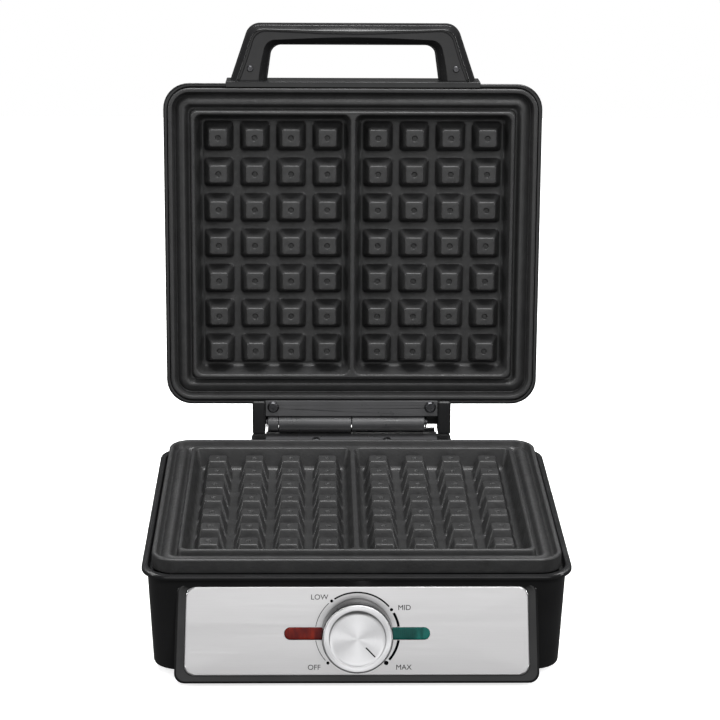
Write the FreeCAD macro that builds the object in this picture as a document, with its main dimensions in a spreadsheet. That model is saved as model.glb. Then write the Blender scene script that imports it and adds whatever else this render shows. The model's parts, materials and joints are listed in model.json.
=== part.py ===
"""Double waffle maker: base, swinging lid and control knob, as a parametric FreeCAD document.

Pieces of the base are drawn about the middle of the lower plate, with Z = 0 on the table.
Pieces of the lid are drawn as they lie when it is closed, and their Placement opens the lid.
Pieces of the front panel are drawn flat, with Z out of the panel, and their Placement tilts them.
"""

import FreeCAD, Part
import Sketcher
import math
import os

from FreeCAD import Placement, Rotation, Vector

SIZES = {
    # cast grid plates, measured from the rim plane
    "plate_width": 243.3,
    "plate_depth": 210.3,
    "plate_corner": 14.5,
    "plate_flange": 9,
    "plate_height": 18,
    "rim_width": 2.3,
    "shoulder_drop": 1.6,
    "groove_in": 12.1,
    "groove_drop": 5,
    "ridge_in": 14.9,
    "ridge_width": 2.4,
    "cavity_drop": 14,
    "cavity_corner": 5,
    "divider_width": 8.4,
    "cavity_taper": 12,
    "nub_pitch": 24,
    "nub_first": 16.8,
    "nub_base": 19,
    "nub_tall": 12.5,
    "nub_taper": 17,
    "dimple_radius": 1.8,
    "dimple_deep": 0.8,
    "nub_columns": 4,
    "nub_rows": 7,
    "post_radius": 6,
    "post_x": 62,
    "post_y": 52,
    "post_tall": 12,
    # base housing
    "rim_z": 77,
    "lip_z": 69,
    "lip_thick": 3,
    "lip_width": 255.6,
    "lip_depth": 221.8,
    "lip_corner": 17,
    "tub_z": 6,
    "tub_width": 243.6,
    "tub_depth": 210.4,
    "tub_corner": 17,
    "tub_taper": 2.6,
    "wall": 2.6,
    "ledge_drop": 1,
    "ledge_width": 236,
    "ledge_depth": 203,
    "ledge_thick": 3,
    "boss_x": 113.6,
    "boss_y": 62,
    "boss_radius": 6.5,
    "boss_tall": 24,
    "cover_thick": 2.5,
    "cover_gap": 0.3,
    "foot_radius": 9,
    "foot_x": 92,
    "foot_y": 80,
    "gland_x": 78,
    "gland_z": 30,
    "gland_radius": 8.5,
    "gland_neck": 6.5,
    "cord_hole": 3.6,
    # hinge
    "hinge_y": 122,
    "hinge_z": 83.4,
    "open_angle": 94.38,
    "closed_gap": 0.5,
    "block_width": 136,
    "block_front": 105.5,
    "block_back": 131.5,
    "block_corner": 5,
    "block_top": 72.4,
    "block_low": 44,
    "barrel_radius": 6.3,
    "pin_radius": 2,
    "pin_play": 0.05,
    "knuckle": 49.3,
    "tab_width": 7,
    "leaf_thick": 2,
    "leaf_width": 116,
    "flange_in": 105.7,
    "flange_out": 114.6,
    "hinge_screw_x": 53,
    "foot_screw_x": 24,
    "bezel_screw_x": 80,
    "bezel_screw_long": 8.8,
    "bezel_screw_seat": 10.4,
    # lid
    "shell_width": 249,
    "shell_depth": 216.4,
    "shell_corner": 17,
    "shell_low": 78.4,
    "shell_top": 117,
    "shell_dome": 13,
    "shell_taper": 8,
    "shell_skin": 4,
    "shell_inner": 22,
    "ear_in": 58.3,
    "ear_out": 67,
    "ear_low": 76.4,
    "ear_top": 91.5,
    "ear_front": 105.6,
    "ear_behind": 7,
    "hood_behind": 3.5,
    "hood_low": 90.5,
    "sill_high": 76.4,
    "sill_front": 128.3,
    # handle, lying in front of the closed lid
    "grip_base": 161.5,
    "grip_end": 136.5,
    "grip_reach": 38,
    "grip_inner_base": 113,
    "grip_inner_end": 106.6,
    "grip_bar": 13.9,
    "grip_corner": 10,
    "grip_inner_corner": 7,
    "grip_thick": 21,
    "grip_low": 82,
    "grip_foot": 167,
    "grip_foot_deep": 1.2,
    "grip_foot_low": 77.6,
    "grip_foot_tall": 24,
    "grip_cover": 8,
    "grip_step": 0.8,
    "grip_screw_x": 67.5,
    # front panel
    "panel_tilt": 10,
    "panel_y": 112.73,
    "panel_z": 33.2,
    "panel_rise": 1.3,
    "bezel_base": 217,
    "bezel_end": 212.5,
    "bezel_below": 32,
    "bezel_above": 29.5,
    "bezel_deep": 15,
    "bezel_round": 4,
    "bezel_corner": 6,
    "bezel_skin": 3,
    "panel_base": 205,
    "panel_end": 201.5,
    "panel_tall": 54,
    "panel_corner": 6,
    "panel_thick": 1.5,
    "panel_proud": 0.5,
    "panel_recess": 1,
    "window_tall": 7.5,
    "window_in": 17,
    "window_out": 43,
    "window_deep": 3.2,
    "window_proud": 0.4,
    "window_gap": 0.1,
    "rib_first": 6,
    "rib_wide": 0.8,
    "rib_run": 16,
    "rib_count": 9,
    "shaft_radius": 3,
    "shaft_play": 0.08,
    "shaft_hole": 4.5,
    "shaft_end": 12,
    "shaft_long": 32,
    "case_top": -15,
    "case_width": 34,
    "case_depth": 24,
    "case_tall": 18,
    "bracket_width": 52,
    "bracket_depth": 20,
    "bracket_thick": 1.5,
    "lamp_radius": 3,
    "lamp_tall": 5,
    "lamp_gap": 0.2,
    "holder_width": 84,
    "holder_depth": 10,
    "holder_thick": 1.6,
    "controls_width": 104,
    "controls_tall": 24,
    # knob
    "knob_radius": 21.3,
    "knob_taper": 2,
    "knob_tall": 13,
    "knob_gap": 1.4,
    "knob_face_radius": 19.8,
    "knob_face_thick": 1.2,
    "knob_face_proud": 0.5,
    "knob_ring": 3.8,
    "knob_dish": 0.4,
    "knob_wall": 2.5,
    "knob_roof": 1.6,
    "knob_hub": 6,
    "pointer_in": 7,
    "pointer_out": 15,
    "pointer_width": 0.9,
    "pointer_thick": 0.15,
    "pointer_angle": 136,
    # heating elements, heat shields, screws
    "element_radius": 3.2,
    "element_x": 84,
    "element_y": 70,
    "element_bend": 18,
    "element_start": 22,
    "terminal_radius": 1.6,
    "terminal_long": 12,
    "shield_width": 198,
    "shield_depth": 166,
    "shield_tall": 12.9,
    "shield_thick": 0.9,
    "shield_corner": 12,
    "screw_radius": 1.5,
    "screw_head": 3,
    "head_share": 0.4,
    # distance from the middle of the plates back to the middle of the whole open appliance
    "origin_back": 20.6,
}

doc = FreeCAD.newDocument("WaffleMaker")
sheet = doc.addObject("Spreadsheet::Sheet", "Sizes")
for row, (name, number) in enumerate(SIZES.items(), start=1):
    sheet.set(f"A{row}", name)
    sheet.set(f"B{row}", str(number))
    sheet.setAlias(f"B{row}", name)
doc.recompute()

FOOT_SCREW_Y = "hinge_y - 11"
FLANGE_Y = "(flange_out + flange_in) / 2"

UP = Vector(0, 0, 1)
ACROSS = Vector(1, 0, 0)
parts = []


def full(expression):
    """The expression with every size name written as Sizes.name."""
    words = str(expression)
    for name in sorted(SIZES, key=len, reverse=True):
        words = words.replace(name, "\x00" + str(list(SIZES).index(name)) + "\x01")
    for index, name in enumerate(SIZES):
        words = words.replace("\x00" + str(index) + "\x01", "Sizes." + name)
    return words


def size(expression):
    """The number that an expression of size names stands for."""
    return float(doc.getObject("Sizes").evalExpression(full(expression)))


def bind(thing, prop, expression):
    thing.setExpression(prop, full(expression))


# placements: where pieces drawn in their own frames go

def in_base(x="0", y="0", z="0", turn=None):
    """A place in the base, from the middle of the plates."""
    move = Vector(size(x), size(y) - size("origin_back"), size(z))
    return Placement(move, turn or Rotation())


def in_lid(x="0", y="0", z="0", turn=None):
    """A place in the closed lid, swung open about the hinge."""
    hinge = Vector(0, size("hinge_y"), size("hinge_z"))
    swing = Placement(Vector(), Rotation(ACROSS, -size("open_angle")), hinge)
    closed = Placement(Vector(size(x), size(y), size(z)), turn or Rotation())
    return in_base() * swing * closed


def on_panel(x="0", y="0", z="0", turn=None):
    """A place on the tilted front panel: X across, Y up it and Z out of it."""
    stand = Rotation(ACROSS, 90 - size("panel_tilt"))
    frame = in_base("0", "-panel_y", "panel_z", stand)
    return frame * Placement(Vector(size(x), size(y), size(z)), turn or Rotation())


def piece(thing, label, placement):
    """Name a finished sub-part, put it in its place and list it for export."""
    thing.Label = label
    thing.Placement = placement * thing.Placement
    parts.append(thing)
    return thing


# PartDesign features

def new_body(name):
    return doc.addObject("PartDesign::Body", name + "_body")


def new_sketch(body, z="0", x="0", y="0", role="XY_Plane"):
    sketch = body.newObject("Sketcher::SketchObject", "Sketch")
    plane = [f for f in body.Origin.OriginFeatures if f.Role == role][0]
    sketch.AttachmentSupport = [(plane, "")]
    sketch.MapMode = "FlatFace"
    for axis, offset in zip("xyz", (x, y, z)):
        bind(sketch, "AttachmentOffset.Base." + axis, offset)
    return sketch


def trapezoid(body, base, end, low, high, z="0", x="0", y="0"):
    """A sketch of a trapezoid about the Y axis, base wide at -low and end wide at +high."""
    sketch = new_sketch(body, z, x, y)
    half_base, half_end = size(base) / 2, size(end) / 2
    bottom, top = -size(low), size(high)
    corners = [(-half_base, bottom), (half_base, bottom), (half_end, top), (-half_end, top)]
    points = [Vector(a, b, 0) for a, b in corners]
    for start, stop in zip(points, points[1:] + points[:1]):
        sketch.addGeometry(Part.LineSegment(start, stop), False)
    for line in range(4):
        sketch.addConstraint(Sketcher.Constraint("Coincident", line, 2, (line + 1) % 4, 1))
    sketch.addConstraint(Sketcher.Constraint("Symmetric", 0, 1, 0, 2, -2))
    sketch.addConstraint(Sketcher.Constraint("Symmetric", 2, 1, 2, 2, -2))
    sizes = [
        ("DistanceX", 0, 1, 0, 2, size(base), base),
        ("DistanceX", 2, 2, 2, 1, size(end), end),
        ("DistanceY", 0, 1, -1, 1, size(low), low),
        ("DistanceY", -1, 1, 2, 1, size(high), high),
    ]
    for kind, first, at, second, to, number, words in sizes:
        index = sketch.addConstraint(Sketcher.Constraint(kind, first, at, second, to, number))
        bind(sketch, f"Constraints[{index}]", words)
    return sketch


def rectangle(body, width, depth, z="0", x="0", y="0"):
    half = f"({depth}) / 2"
    return trapezoid(body, width, width, half, half, z, x, y)


def rounded(body, width, depth, corner, z="0", x="0", y="0"):
    """A sketch of a rectangle with an arc at each corner, about its own origin."""
    sketch = new_sketch(body, z, x, y)
    wide, deep, turn = size(width) / 2, size(depth) / 2, size(corner)
    for quarter, (a, b) in enumerate([(1, -1), (1, 1), (-1, 1), (-1, -1)]):
        before = (-a, b) if quarter % 2 == 0 else (a, -b)
        start = Vector(*corner_point(before, wide, deep, turn, quarter), 0)
        stop = Vector(*corner_point((a, b), wide, deep, turn, quarter), 0)
        sketch.addGeometry(Part.LineSegment(start, stop), False)
        centre = Vector(a * (wide - turn), b * (deep - turn), 0)
        ring = Part.Circle(centre, UP, turn)
        first = (quarter - 1) * math.pi / 2
        sketch.addGeometry(Part.ArcOfCircle(ring, first, first + math.pi / 2), False)
    for line in range(0, 8, 2):
        kind = "Horizontal" if line % 4 == 0 else "Vertical"
        sketch.addConstraint(Sketcher.Constraint(kind, line))
        sketch.addConstraint(Sketcher.Constraint("Tangent", line, 2, line + 1, 1))
        sketch.addConstraint(Sketcher.Constraint("Tangent", line + 1, 2, (line + 2) % 8, 1))
    for arc in (3, 5, 7):
        sketch.addConstraint(Sketcher.Constraint("Equal", 1, arc))
    sketch.addConstraint(Sketcher.Constraint("Symmetric", 0, 1, 4, 1, -1, 1))
    sizes = [
        (("DistanceX", 6, 1, 2, 1, 2 * wide), width),
        (("DistanceY", 0, 1, 4, 1, 2 * deep), depth),
        (("Radius", 1, turn), corner),
    ]
    for words, expression in sizes:
        index = sketch.addConstraint(Sketcher.Constraint(*words))
        bind(sketch, f"Constraints[{index}]", expression)
    return sketch


def corner_point(signs, wide, deep, turn, quarter):
    """Where the straight side of a rounded rectangle meets the arc of a corner."""
    x, y = signs
    if quarter % 2 == 0:
        return x * (wide - turn), y * deep
    return x * wide, y * (deep - turn)


def circle(body, radius, z="0", x="0", y="0"):
    sketch = new_sketch(body, z, x, y)
    sketch.addGeometry(Part.Circle(Vector(), UP, size(radius)), False)
    sketch.addConstraint(Sketcher.Constraint("Coincident", 0, 3, -1, 1))
    index = sketch.addConstraint(Sketcher.Constraint("Radius", 0, size(radius)))
    bind(sketch, f"Constraints[{index}]", radius)
    return sketch


def pad(body, sketch, length, taper=None, down=False):
    feature = body.newObject("PartDesign::Pad", "Pad")
    feature.Profile = sketch
    feature.Reversed = down
    bind(feature, "Length", length)
    if taper:
        bind(feature, "TaperAngle", taper)
    doc.recompute()
    return feature


def pocket(body, sketch, length, taper=None, up=False):
    """Cut from the sketch down its own Z, or up it, and make sure that something went."""
    before = body.Shape.Volume
    feature = body.newObject("PartDesign::Pocket", "Pocket")
    feature.Profile = sketch
    feature.Reversed = up
    bind(feature, "Length", length)
    if taper:
        bind(feature, "TaperAngle", taper)
    doc.recompute()
    if body.Shape.Volume > before - 0.01:
        raise RuntimeError(f"a pocket in {body.Name} cuts nothing")
    return feature


def is_upright(edge):
    """True for a straight edge that runs mostly along Z."""
    if len(edge.Vertexes) < 2:
        return False
    run = edge.Vertexes[1].Point - edge.Vertexes[0].Point
    return edge.Length < run.Length * 1.001 and abs(run.z) > run.Length * 0.85


def edge_names(body, chosen):
    return [f"Edge{i}" for i, edge in enumerate(body.Shape.Edges, start=1) if chosen(edge)]


def round_edges(body, chosen, radius):
    """Fillet the edges of the body that the test picks."""
    base = (body.Tip, edge_names(body, chosen))
    feature = body.newObject("PartDesign::Fillet", "Fillet")
    feature.Base = base
    bind(feature, "Radius", radius)
    doc.recompute()
    return feature


def near_z(z):
    """A test for edges that lie flat at one height."""
    def chosen(edge):
        box = edge.BoundBox
        return abs(box.ZMin - size(z)) < 0.01 and abs(box.ZMax - size(z)) < 0.01
    return chosen


def block(body, width, depth, corner, low, tall, taper=None, x="0", y="0"):
    """The first pad of a body: a slab with rounded upright edges."""
    pad(body, rectangle(body, width, depth, low, x, y), tall, taper)
    round_edges(body, is_upright, corner)


# Part primitives

def cylinder(name, radius, tall, x="0", y="0", z="0", turn=None):
    thing = doc.addObject("Part::Cylinder", name)
    bind(thing, "Radius", radius)
    bind(thing, "Height", tall)
    thing.Placement = Placement(Vector(size(x), size(y), size(z)), turn or Rotation())
    return thing


def box(name, width, depth, tall, x="0", y="0", z="0"):
    """A box whose middle in X and Y, and whose lowest face, are at x, y and z."""
    thing = doc.addObject("Part::Box", name)
    bind(thing, "Length", width)
    bind(thing, "Width", depth)
    bind(thing, "Height", tall)
    corner = Vector(size(x) - size(width) / 2, size(y) - size(depth) / 2, size(z))
    thing.Placement = Placement(corner, Rotation())
    return thing


def cut(name, base, tools):
    for number, tool in enumerate(tools):
        step = doc.addObject("Part::Cut", f"{name}_cut{number}")
        step.Base = base
        step.Tool = tool
        base = step
    return base


def fuse(name, shapes):
    thing = doc.addObject("Part::MultiFuse", name + "_fuse")
    thing.Shapes = shapes
    thing.Refine = True
    return thing


def compound(name, links):
    thing = doc.addObject("Part::Compound", name + "_group")
    thing.Links = links
    return thing


def screw(name, long, x="0", y="0", z="0", turn=None, head="screw_head"):
    """A cross-head screw: the underside of its head at z, and its shank below."""
    rounded = doc.addObject("Part::Cone", name + "_head")
    bind(rounded, "Radius1", head)
    bind(rounded, "Radius2", f"{head} * 0.72")
    bind(rounded, "Height", f"{head} * head_share")
    stem = cylinder(name + "_stem", "screw_radius", f"{long} + 0.5", z=f"-({long})")
    solid = fuse(name, [rounded, stem])
    slots = [
        box(name + "_slot1", f"{head} * 1.1", f"{head} * 0.22", head, z=f"{head} * 0.15"),
        box(name + "_slot2", f"{head} * 0.22", f"{head} * 1.1", head, z=f"{head} * 0.15"),
    ]
    made = cut(name, solid, slots)
    made.Placement = Placement(Vector(size(x), size(y), size(z)), turn or Rotation())
    return made


def drilled(name, base, spots, long, z, turn=None):
    """The base with a hole for the shank of each screw, from z down the screw's own axis."""
    holes = []
    for x, y in spots:
        hole = cylinder(f"{name}_hole{len(holes)}", "screw_radius + 0.05", f"{long} + 1")
        place = Placement(Vector(size(x), size(y), size(z)), turn or Rotation())
        hole.Placement = place * Placement(Vector(0, 0, -size(long)), Rotation())
        holes.append(hole)
    return cut(name + "_drilled", base, holes)


def pair(x, y):
    """The two places at plus and minus x."""
    return [(f"{side}({x})", y) for side in ("", "-")]


def four(x, y):
    """The four places at plus and minus x and y."""
    return [(f"{a}({x})", f"{b}({y})") for a in ("", "-") for b in ("", "-")]


# base

def housing_envelope(name):
    """The outside of the tub without its flange."""
    body = new_body(name)
    tall = "lip_z - lip_thick - tub_z"
    block(body, "tub_width", "tub_depth", "tub_corner", "tub_z", tall, "tub_taper")
    return body


def base_housing():
    """Tub with a flange round its top, a ledge for the plate and the hinge block behind."""
    body = housing_envelope("base_housing")
    pad(body, rectangle(body, "lip_width", "lip_depth", "lip_z - lip_thick"), "lip_thick")
    corner = size("lip_width") / 2 - 1
    round_edges(body, lambda e: is_upright(e) and abs(e.BoundBox.XMin) > corner, "lip_corner")
    deep = "(block_back - block_front)"
    middle = "(block_front + block_back) / 2"
    block_tall = "block_top - block_low"
    pad(body, rectangle(body, "block_width", deep, "block_low", y=middle), block_tall)
    edge = size("block_back") - 1
    round_edges(body, lambda e: is_upright(e) and e.BoundBox.YMin > edge, "block_corner")
    inner_width, inner_depth = "tub_width - 2 * wall", "tub_depth - 2 * wall"
    hollow = rounded(body, inner_width, inner_depth, "tub_corner - wall", "tub_z")
    hollow_tall = "lip_z - ledge_drop - ledge_thick - tub_z"
    pocket(body, hollow, hollow_tall, "tub_taper", up=True)
    pocket(body, rounded(body, "ledge_width", "ledge_depth", "tub_corner - wall - 2", "lip_z"), "30")
    seat = rounded(body, "plate_width + 0.6", "plate_depth + 0.6", "plate_corner + 0.3", "lip_z")
    pocket(body, seat, "ledge_drop")
    sill = "(sill_front + block_back) / 2"
    pad(body, rectangle(body, "leaf_width - 2", "block_back - sill_front", "block_top - 1", y=sill),
        "sill_high - block_top + 1")
    well = rectangle(body, "block_width - 2 * wall", f"{deep} - wall - 8", "block_low",
                     y=f"{middle} + 4 - wall / 2")
    pocket(body, well, f"{block_tall} - wall", up=True)
    for x, y in four("boss_x", "boss_y"):
        pad(body, circle(body, "boss_radius", "tub_z + cover_thick", x, y), "boss_tall")
        pocket(body, circle(body, "screw_radius + 0.05", "tub_z + cover_thick", x, y), "14", up=True)
    gland = cylinder("gland_hole", "gland_neck + 0.1", "20", "gland_x", "tub_depth / 2 - 8",
                     "gland_z", Rotation(ACROSS, -90))
    controls = box("controls_window", "controls_width", "16", "controls_tall", "0",
                   "-tub_depth / 2 + 2", "panel_z - controls_tall / 2")
    shape = cut("base_housing", body, [gland, controls])
    shape = drilled("housing_top", shape, pair("foot_screw_x", FOOT_SCREW_Y), "8", "block_top")
    tools = bezel_screw_holes("housing_front", "-bezel_screw_seat - 1", "bezel_screw_seat - 4")
    tools.append(panel_room("housing_room"))
    for tool in tools:
        tool.Placement = in_base().inverse() * tool.Placement
    return piece(cut("housing_front", shape, tools), "base_housing", in_base())


def front_bezel():
    """Hollow block in front of the tub, with a shallow recess for the panel."""
    body = new_body("front_bezel")
    outline = trapezoid(body, "bezel_base", "bezel_end", "bezel_below", "bezel_above", y="panel_rise")
    pad(body, outline, "bezel_deep", down=True)
    round_edges(body, is_upright, "bezel_corner")
    round_edges(body, near_z("0"), "bezel_round")
    inset = "2 * bezel_skin"
    hollow = trapezoid(body, f"bezel_base - {inset}", f"bezel_end - {inset}",
                       "bezel_below - bezel_skin", "bezel_above - bezel_skin", "-bezel_deep",
                       y="panel_rise")
    pocket(body, hollow, "bezel_deep - bezel_skin", up=True)
    pocket(body, circle(body, "shaft_hole"), "bezel_deep")
    for side in ("", "-"):
        pocket(body, window_sketch(body, side, "window_gap"), "bezel_deep")
    body.Placement = on_panel()
    wall_copy = housing_envelope("bezel_back")
    wall_copy.Placement = in_base()
    tools = [wall_copy, panel_room("bezel_room")]
    tools += bezel_screw_holes("bezel", "-bezel_skin - 0.4", "2")
    return piece(cut("front_bezel", body, tools), "front_bezel", Placement())


def panel_room(name):
    """The recess that the panel lies in, a little wider than the panel all round."""
    room = panel_blank(name, "0.15", "4")
    room.Placement = on_panel()
    return room


def bezel_screw_holes(name, start, long):
    """Holes for the two bezel screws, square to the panel."""
    holes = []
    for number, (x, y) in enumerate(pair("bezel_screw_x", "0")):
        hole = cylinder(f"{name}_hole{number}", "screw_radius + 0.05", long, x, y, start)
        hole.Placement = on_panel() * hole.Placement
        holes.append(hole)
    return holes


def window_sketch(body, side, gap, z="0"):
    """A lamp window to one side of the knob."""
    middle = f"{side}(window_in + window_out) / 2"
    return rectangle(body, f"window_out - window_in + 2 * {gap}", f"window_tall + 2 * {gap}", z, middle)


def panel_blank(name, gap, thick):
    """The panel's outline, grown by a gap, from the bottom of its recess."""
    body = new_body(name)
    half = f"panel_tall / 2 + {gap}"
    outline = trapezoid(body, f"panel_base + 2 * {gap}", f"panel_end + 2 * {gap}", half, half,
                        "-panel_recess", y="panel_rise")
    pad(body, outline, thick)
    round_edges(body, is_upright, "panel_corner")
    return body


def control_panel():
    body = panel_blank("control_panel", "0", "panel_thick")
    pocket(body, circle(body, "shaft_hole", "panel_proud"), "panel_thick + 1")
    for side in ("", "-"):
        pocket(body, window_sketch(body, side, "window_gap", "panel_proud"), "panel_thick + 1")
    return piece(body, "control_panel", on_panel())


def lens(label, side):
    """Lamp window with a rounded end and upright ribs on its face."""
    body = new_body(label)
    face = "panel_proud + window_proud"
    pad(body, window_sketch(body, side, "0", face), "window_deep", down=True)
    round_edges(body, is_upright, "window_tall / 2 - 0.2")
    groove = rectangle(body, "rib_wide", "window_tall - 2", face, f"{side}(window_in + rib_first)")
    first = pocket(body, groove, "window_proud")
    ribs = body.newObject("PartDesign::LinearPattern", "Ribs")
    ribs.Originals = [first]
    ribs.Direction = (groove, ["H_Axis"])
    ribs.Reversed = side == "-"
    bind(ribs, "Length", "rib_run")
    ribs.Occurrences = int(size("rib_count"))
    body.Tip = ribs
    doc.recompute()
    return piece(body, label, on_panel())


def lamps():
    """A lamp behind each window, on a strip that the shaft passes through."""
    seat = "(panel_proud + window_proud - window_deep - lamp_gap - lamp_tall)"
    bulbs = [cylinder(f"lamp{i}", "lamp_radius", "lamp_tall", x, y, seat)
             for i, (x, y) in enumerate(pair("(window_in + window_out) / 2", "0"))]
    piece(compound("indicator_lamps", bulbs), "indicator_lamps", on_panel())
    strip = box("holder_strip", "holder_width", "holder_depth", "holder_thick",
                z=f"{seat} - holder_thick")
    hole = cylinder("holder_hole", "shaft_hole - 0.7", "2 * holder_thick",
                    z=f"{seat} - 1.5 * holder_thick")
    piece(cut("lamp_holder", strip, [hole]), "lamp_holder", on_panel())


def thermostat():
    """Switch body behind the panel, on a sheet bracket, with the shaft that the knob turns."""
    base = "case_top - case_tall"
    case = box("case", "case_width", "case_depth", "case_tall", z=base)
    bore = cylinder("case_bore", "shaft_radius + shaft_play", "6", z="case_top - 6")
    tabs = [box(f"tab{i}", "6", "0.8", "9", x, y, f"{base} - 8.9")
            for i, (x, y) in enumerate(pair("case_width / 2 - 8", "0"))]
    piece(fuse("thermostat", [cut("case", case, [bore])] + tabs), "thermostat", on_panel())
    plate = box("bracket_plate", "bracket_width", "bracket_depth", "bracket_thick", z="case_top")
    collar = cylinder("bracket_hole", "shaft_radius + shaft_play", "4", z="case_top - 1")
    piece(cut("bracket", plate, [collar]), "thermostat_bracket", on_panel())
    shaft = cylinder("shaft", "shaft_radius", "shaft_long", z="shaft_end - shaft_long")
    flat = box("shaft_flat", "8", "2", "12", y="0.8 * shaft_radius + 1", z="2")
    piece(cut("shaft", shaft, [flat]), "thermostat_shaft", on_panel())


def knob():
    """Skirt with a D hole on the shaft, a turned metal face and a thin pointer line."""
    body = new_body("knob_skirt")
    pad(body, circle(body, "knob_radius", "knob_gap"), "knob_tall", "-knob_taper")
    top = "knob_gap + knob_tall"
    round_edges(body, near_z(top), "0.5")
    pocket(body, circle(body, "knob_face_radius + 0.1", top), "knob_face_thick")
    inside = "knob_tall - knob_face_thick - knob_roof"
    pocket(body, circle(body, "knob_radius - knob_wall", "knob_gap"), inside, up=True)
    pad(body, circle(body, "knob_hub", "knob_gap + 0.6"), f"{inside} + 0.2")
    pocket(body, circle(body, "shaft_radius + 0.02", "knob_gap"), "shaft_end - knob_gap + 0.3",
           up=True)
    piece(body, "knob_skirt", on_panel())
    face = new_body("knob_face")
    crest = f"{top} + knob_face_proud"
    pad(face, circle(face, "knob_face_radius", f"{top} - knob_face_thick"),
        "knob_face_thick + knob_face_proud")
    round_edges(face, near_z(crest), "0.6")
    pocket(face, circle(face, "knob_face_radius - knob_ring", crest), "knob_dish")
    piece(face, "knob_face", on_panel())
    long = "pointer_out - pointer_in"
    line = box("pointer", "pointer_width", long, "pointer_thick", y="(pointer_in + pointer_out) / 2",
               z=f"{crest} - knob_dish")
    piece(line, "knob_pointer", on_panel(turn=Rotation(UP, -size("pointer_angle"))))


def bottom():
    """Cover with vent slots, its screws, and the four rubber feet under it."""
    body = new_body("bottom_cover")
    inset = "2 * (wall + cover_gap)"
    block(body, f"tub_width - {inset}", f"tub_depth - {inset}", "tub_corner - wall", "tub_z",
          "cover_thick")
    for row in range(5):
        slot = rectangle(body, "70", "3", "tub_z", y=str(8 * row - 16))
        pocket(body, slot, "cover_thick", up=True)
    for x, y in four("boss_x", "boss_y"):
        pocket(body, circle(body, "screw_radius + 0.1", "tub_z", x, y), "cover_thick", up=True)
    piece(body, "bottom_cover", in_base())
    turn = Rotation(ACROSS, 180)
    screws = [screw(f"bottom_screw{i}", "12", x, y, "tub_z", turn)
              for i, (x, y) in enumerate(four("boss_x", "boss_y"))]
    piece(compound("bottom_screws", screws), "bottom_screws", in_base())
    feet = [cylinder(f"foot{i}", "foot_radius", "tub_z", x, y)
            for i, (x, y) in enumerate(four("foot_x", "foot_y"))]
    piece(compound("rubber_feet", feet), "rubber_feet", in_base())


def cord_inlet():
    """Flanged gland in the back wall, the terminal block inside it and the thermal fuse."""
    turn = Rotation(ACROSS, -90)
    flange = cylinder("gland_flange", "gland_radius", "4", "gland_x", "tub_depth / 2 + 1.6",
                      "gland_z", turn)
    neck = cylinder("gland_neck_solid", "gland_neck", "12", "gland_x", "tub_depth / 2 - 8",
                    "gland_z", turn)
    hole = cylinder("gland_bore", "cord_hole", "20", "gland_x", "tub_depth / 2 - 10", "gland_z", turn)
    ring = cut("cord_gland", fuse("cord_gland", [flange, neck]), [hole])
    piece(ring, "cord_gland", in_base())
    strip = box("terminal_strip", "34", "16", "13", "40", "70", "tub_z + cover_thick")
    wells = [cylinder(f"terminal_well{i}", "2.2", "8", str(29 + 11 * i), "70", "tub_z + 10")
             for i in range(3)]
    piece(cut("terminal_block", strip, wells), "terminal_block", in_base())
    below_shield = "rim_z - plate_height - shield_tall - 2.5"
    fuse_tube = cylinder("fuse_tube", "2.5", "16", "20", "-30", below_shield,
                         Rotation(Vector(0, 1, 0), 90))
    piece(fuse_tube, "thermal_fuse", in_base())


def bezel_screws():
    """Two screws from inside the tub into the bezel."""
    turn = Rotation(ACROSS, 180)
    made = [screw(f"bezel_screw{i}", "bezel_screw_long", x, y, "-bezel_screw_seat", turn)
            for i, (x, y) in enumerate(pair("bezel_screw_x", "0"))]
    return piece(compound("bezel_screws", made), "bezel_screws", on_panel())


# plates and heating

def grid_plate(label, placement):
    """Cast plate: rim, sunken shoulder, groove, two walled cavities and their square nubs."""
    body = new_body(label)
    block(body, "plate_width", "plate_depth", "plate_corner", "-plate_flange", "plate_flange")
    pad(body, inset_outline(body, "groove_in", "-plate_height"), "plate_height - plate_flange + 1")
    pocket(body, inset_outline(body, "rim_width", "0"), "shoulder_drop")
    add_ridge(body)
    half_cavity = "(plate_width / 2 - ridge_in - ridge_width - 0.5 * divider_width + 2.9)"
    deep = "plate_depth - 2 * ridge_in - 2 * ridge_width"
    for side in ("", "-"):
        middle = f"{side}({half_cavity} / 2 + 1.3)"
        pocket(body, rounded(body, half_cavity, deep, "cavity_corner", x=middle), "cavity_drop",
               "-cavity_taper")
    add_nubs(body)
    for x, y in four("post_x", "post_y"):
        pad(body, circle(body, "post_radius", "-plate_height", x, y), "post_tall", down=True)
        foot = "-plate_height - post_tall"
        pocket(body, circle(body, "screw_radius + 0.05", foot, x, y), "9", up=True)
    return piece(body, label, placement)


def inset_outline(body, inset, z):
    """The plate's outline drawn in by inset, its corners tighter as it gets smaller."""
    corner = f"max(plate_corner - {inset}, cavity_corner)"
    return rounded(body, f"plate_width - 2 * {inset}", f"plate_depth - 2 * {inset}", corner, z)


def add_ridge(body):
    """The raised wall round the cavities, up to the rim plane, beyond a groove."""
    groove = inset_outline(body, "groove_in", "-shoulder_drop")
    pocket(body, groove, "groove_drop - shoulder_drop")
    pad(body, inset_outline(body, "ridge_in", "-groove_drop"), "groove_drop")


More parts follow.
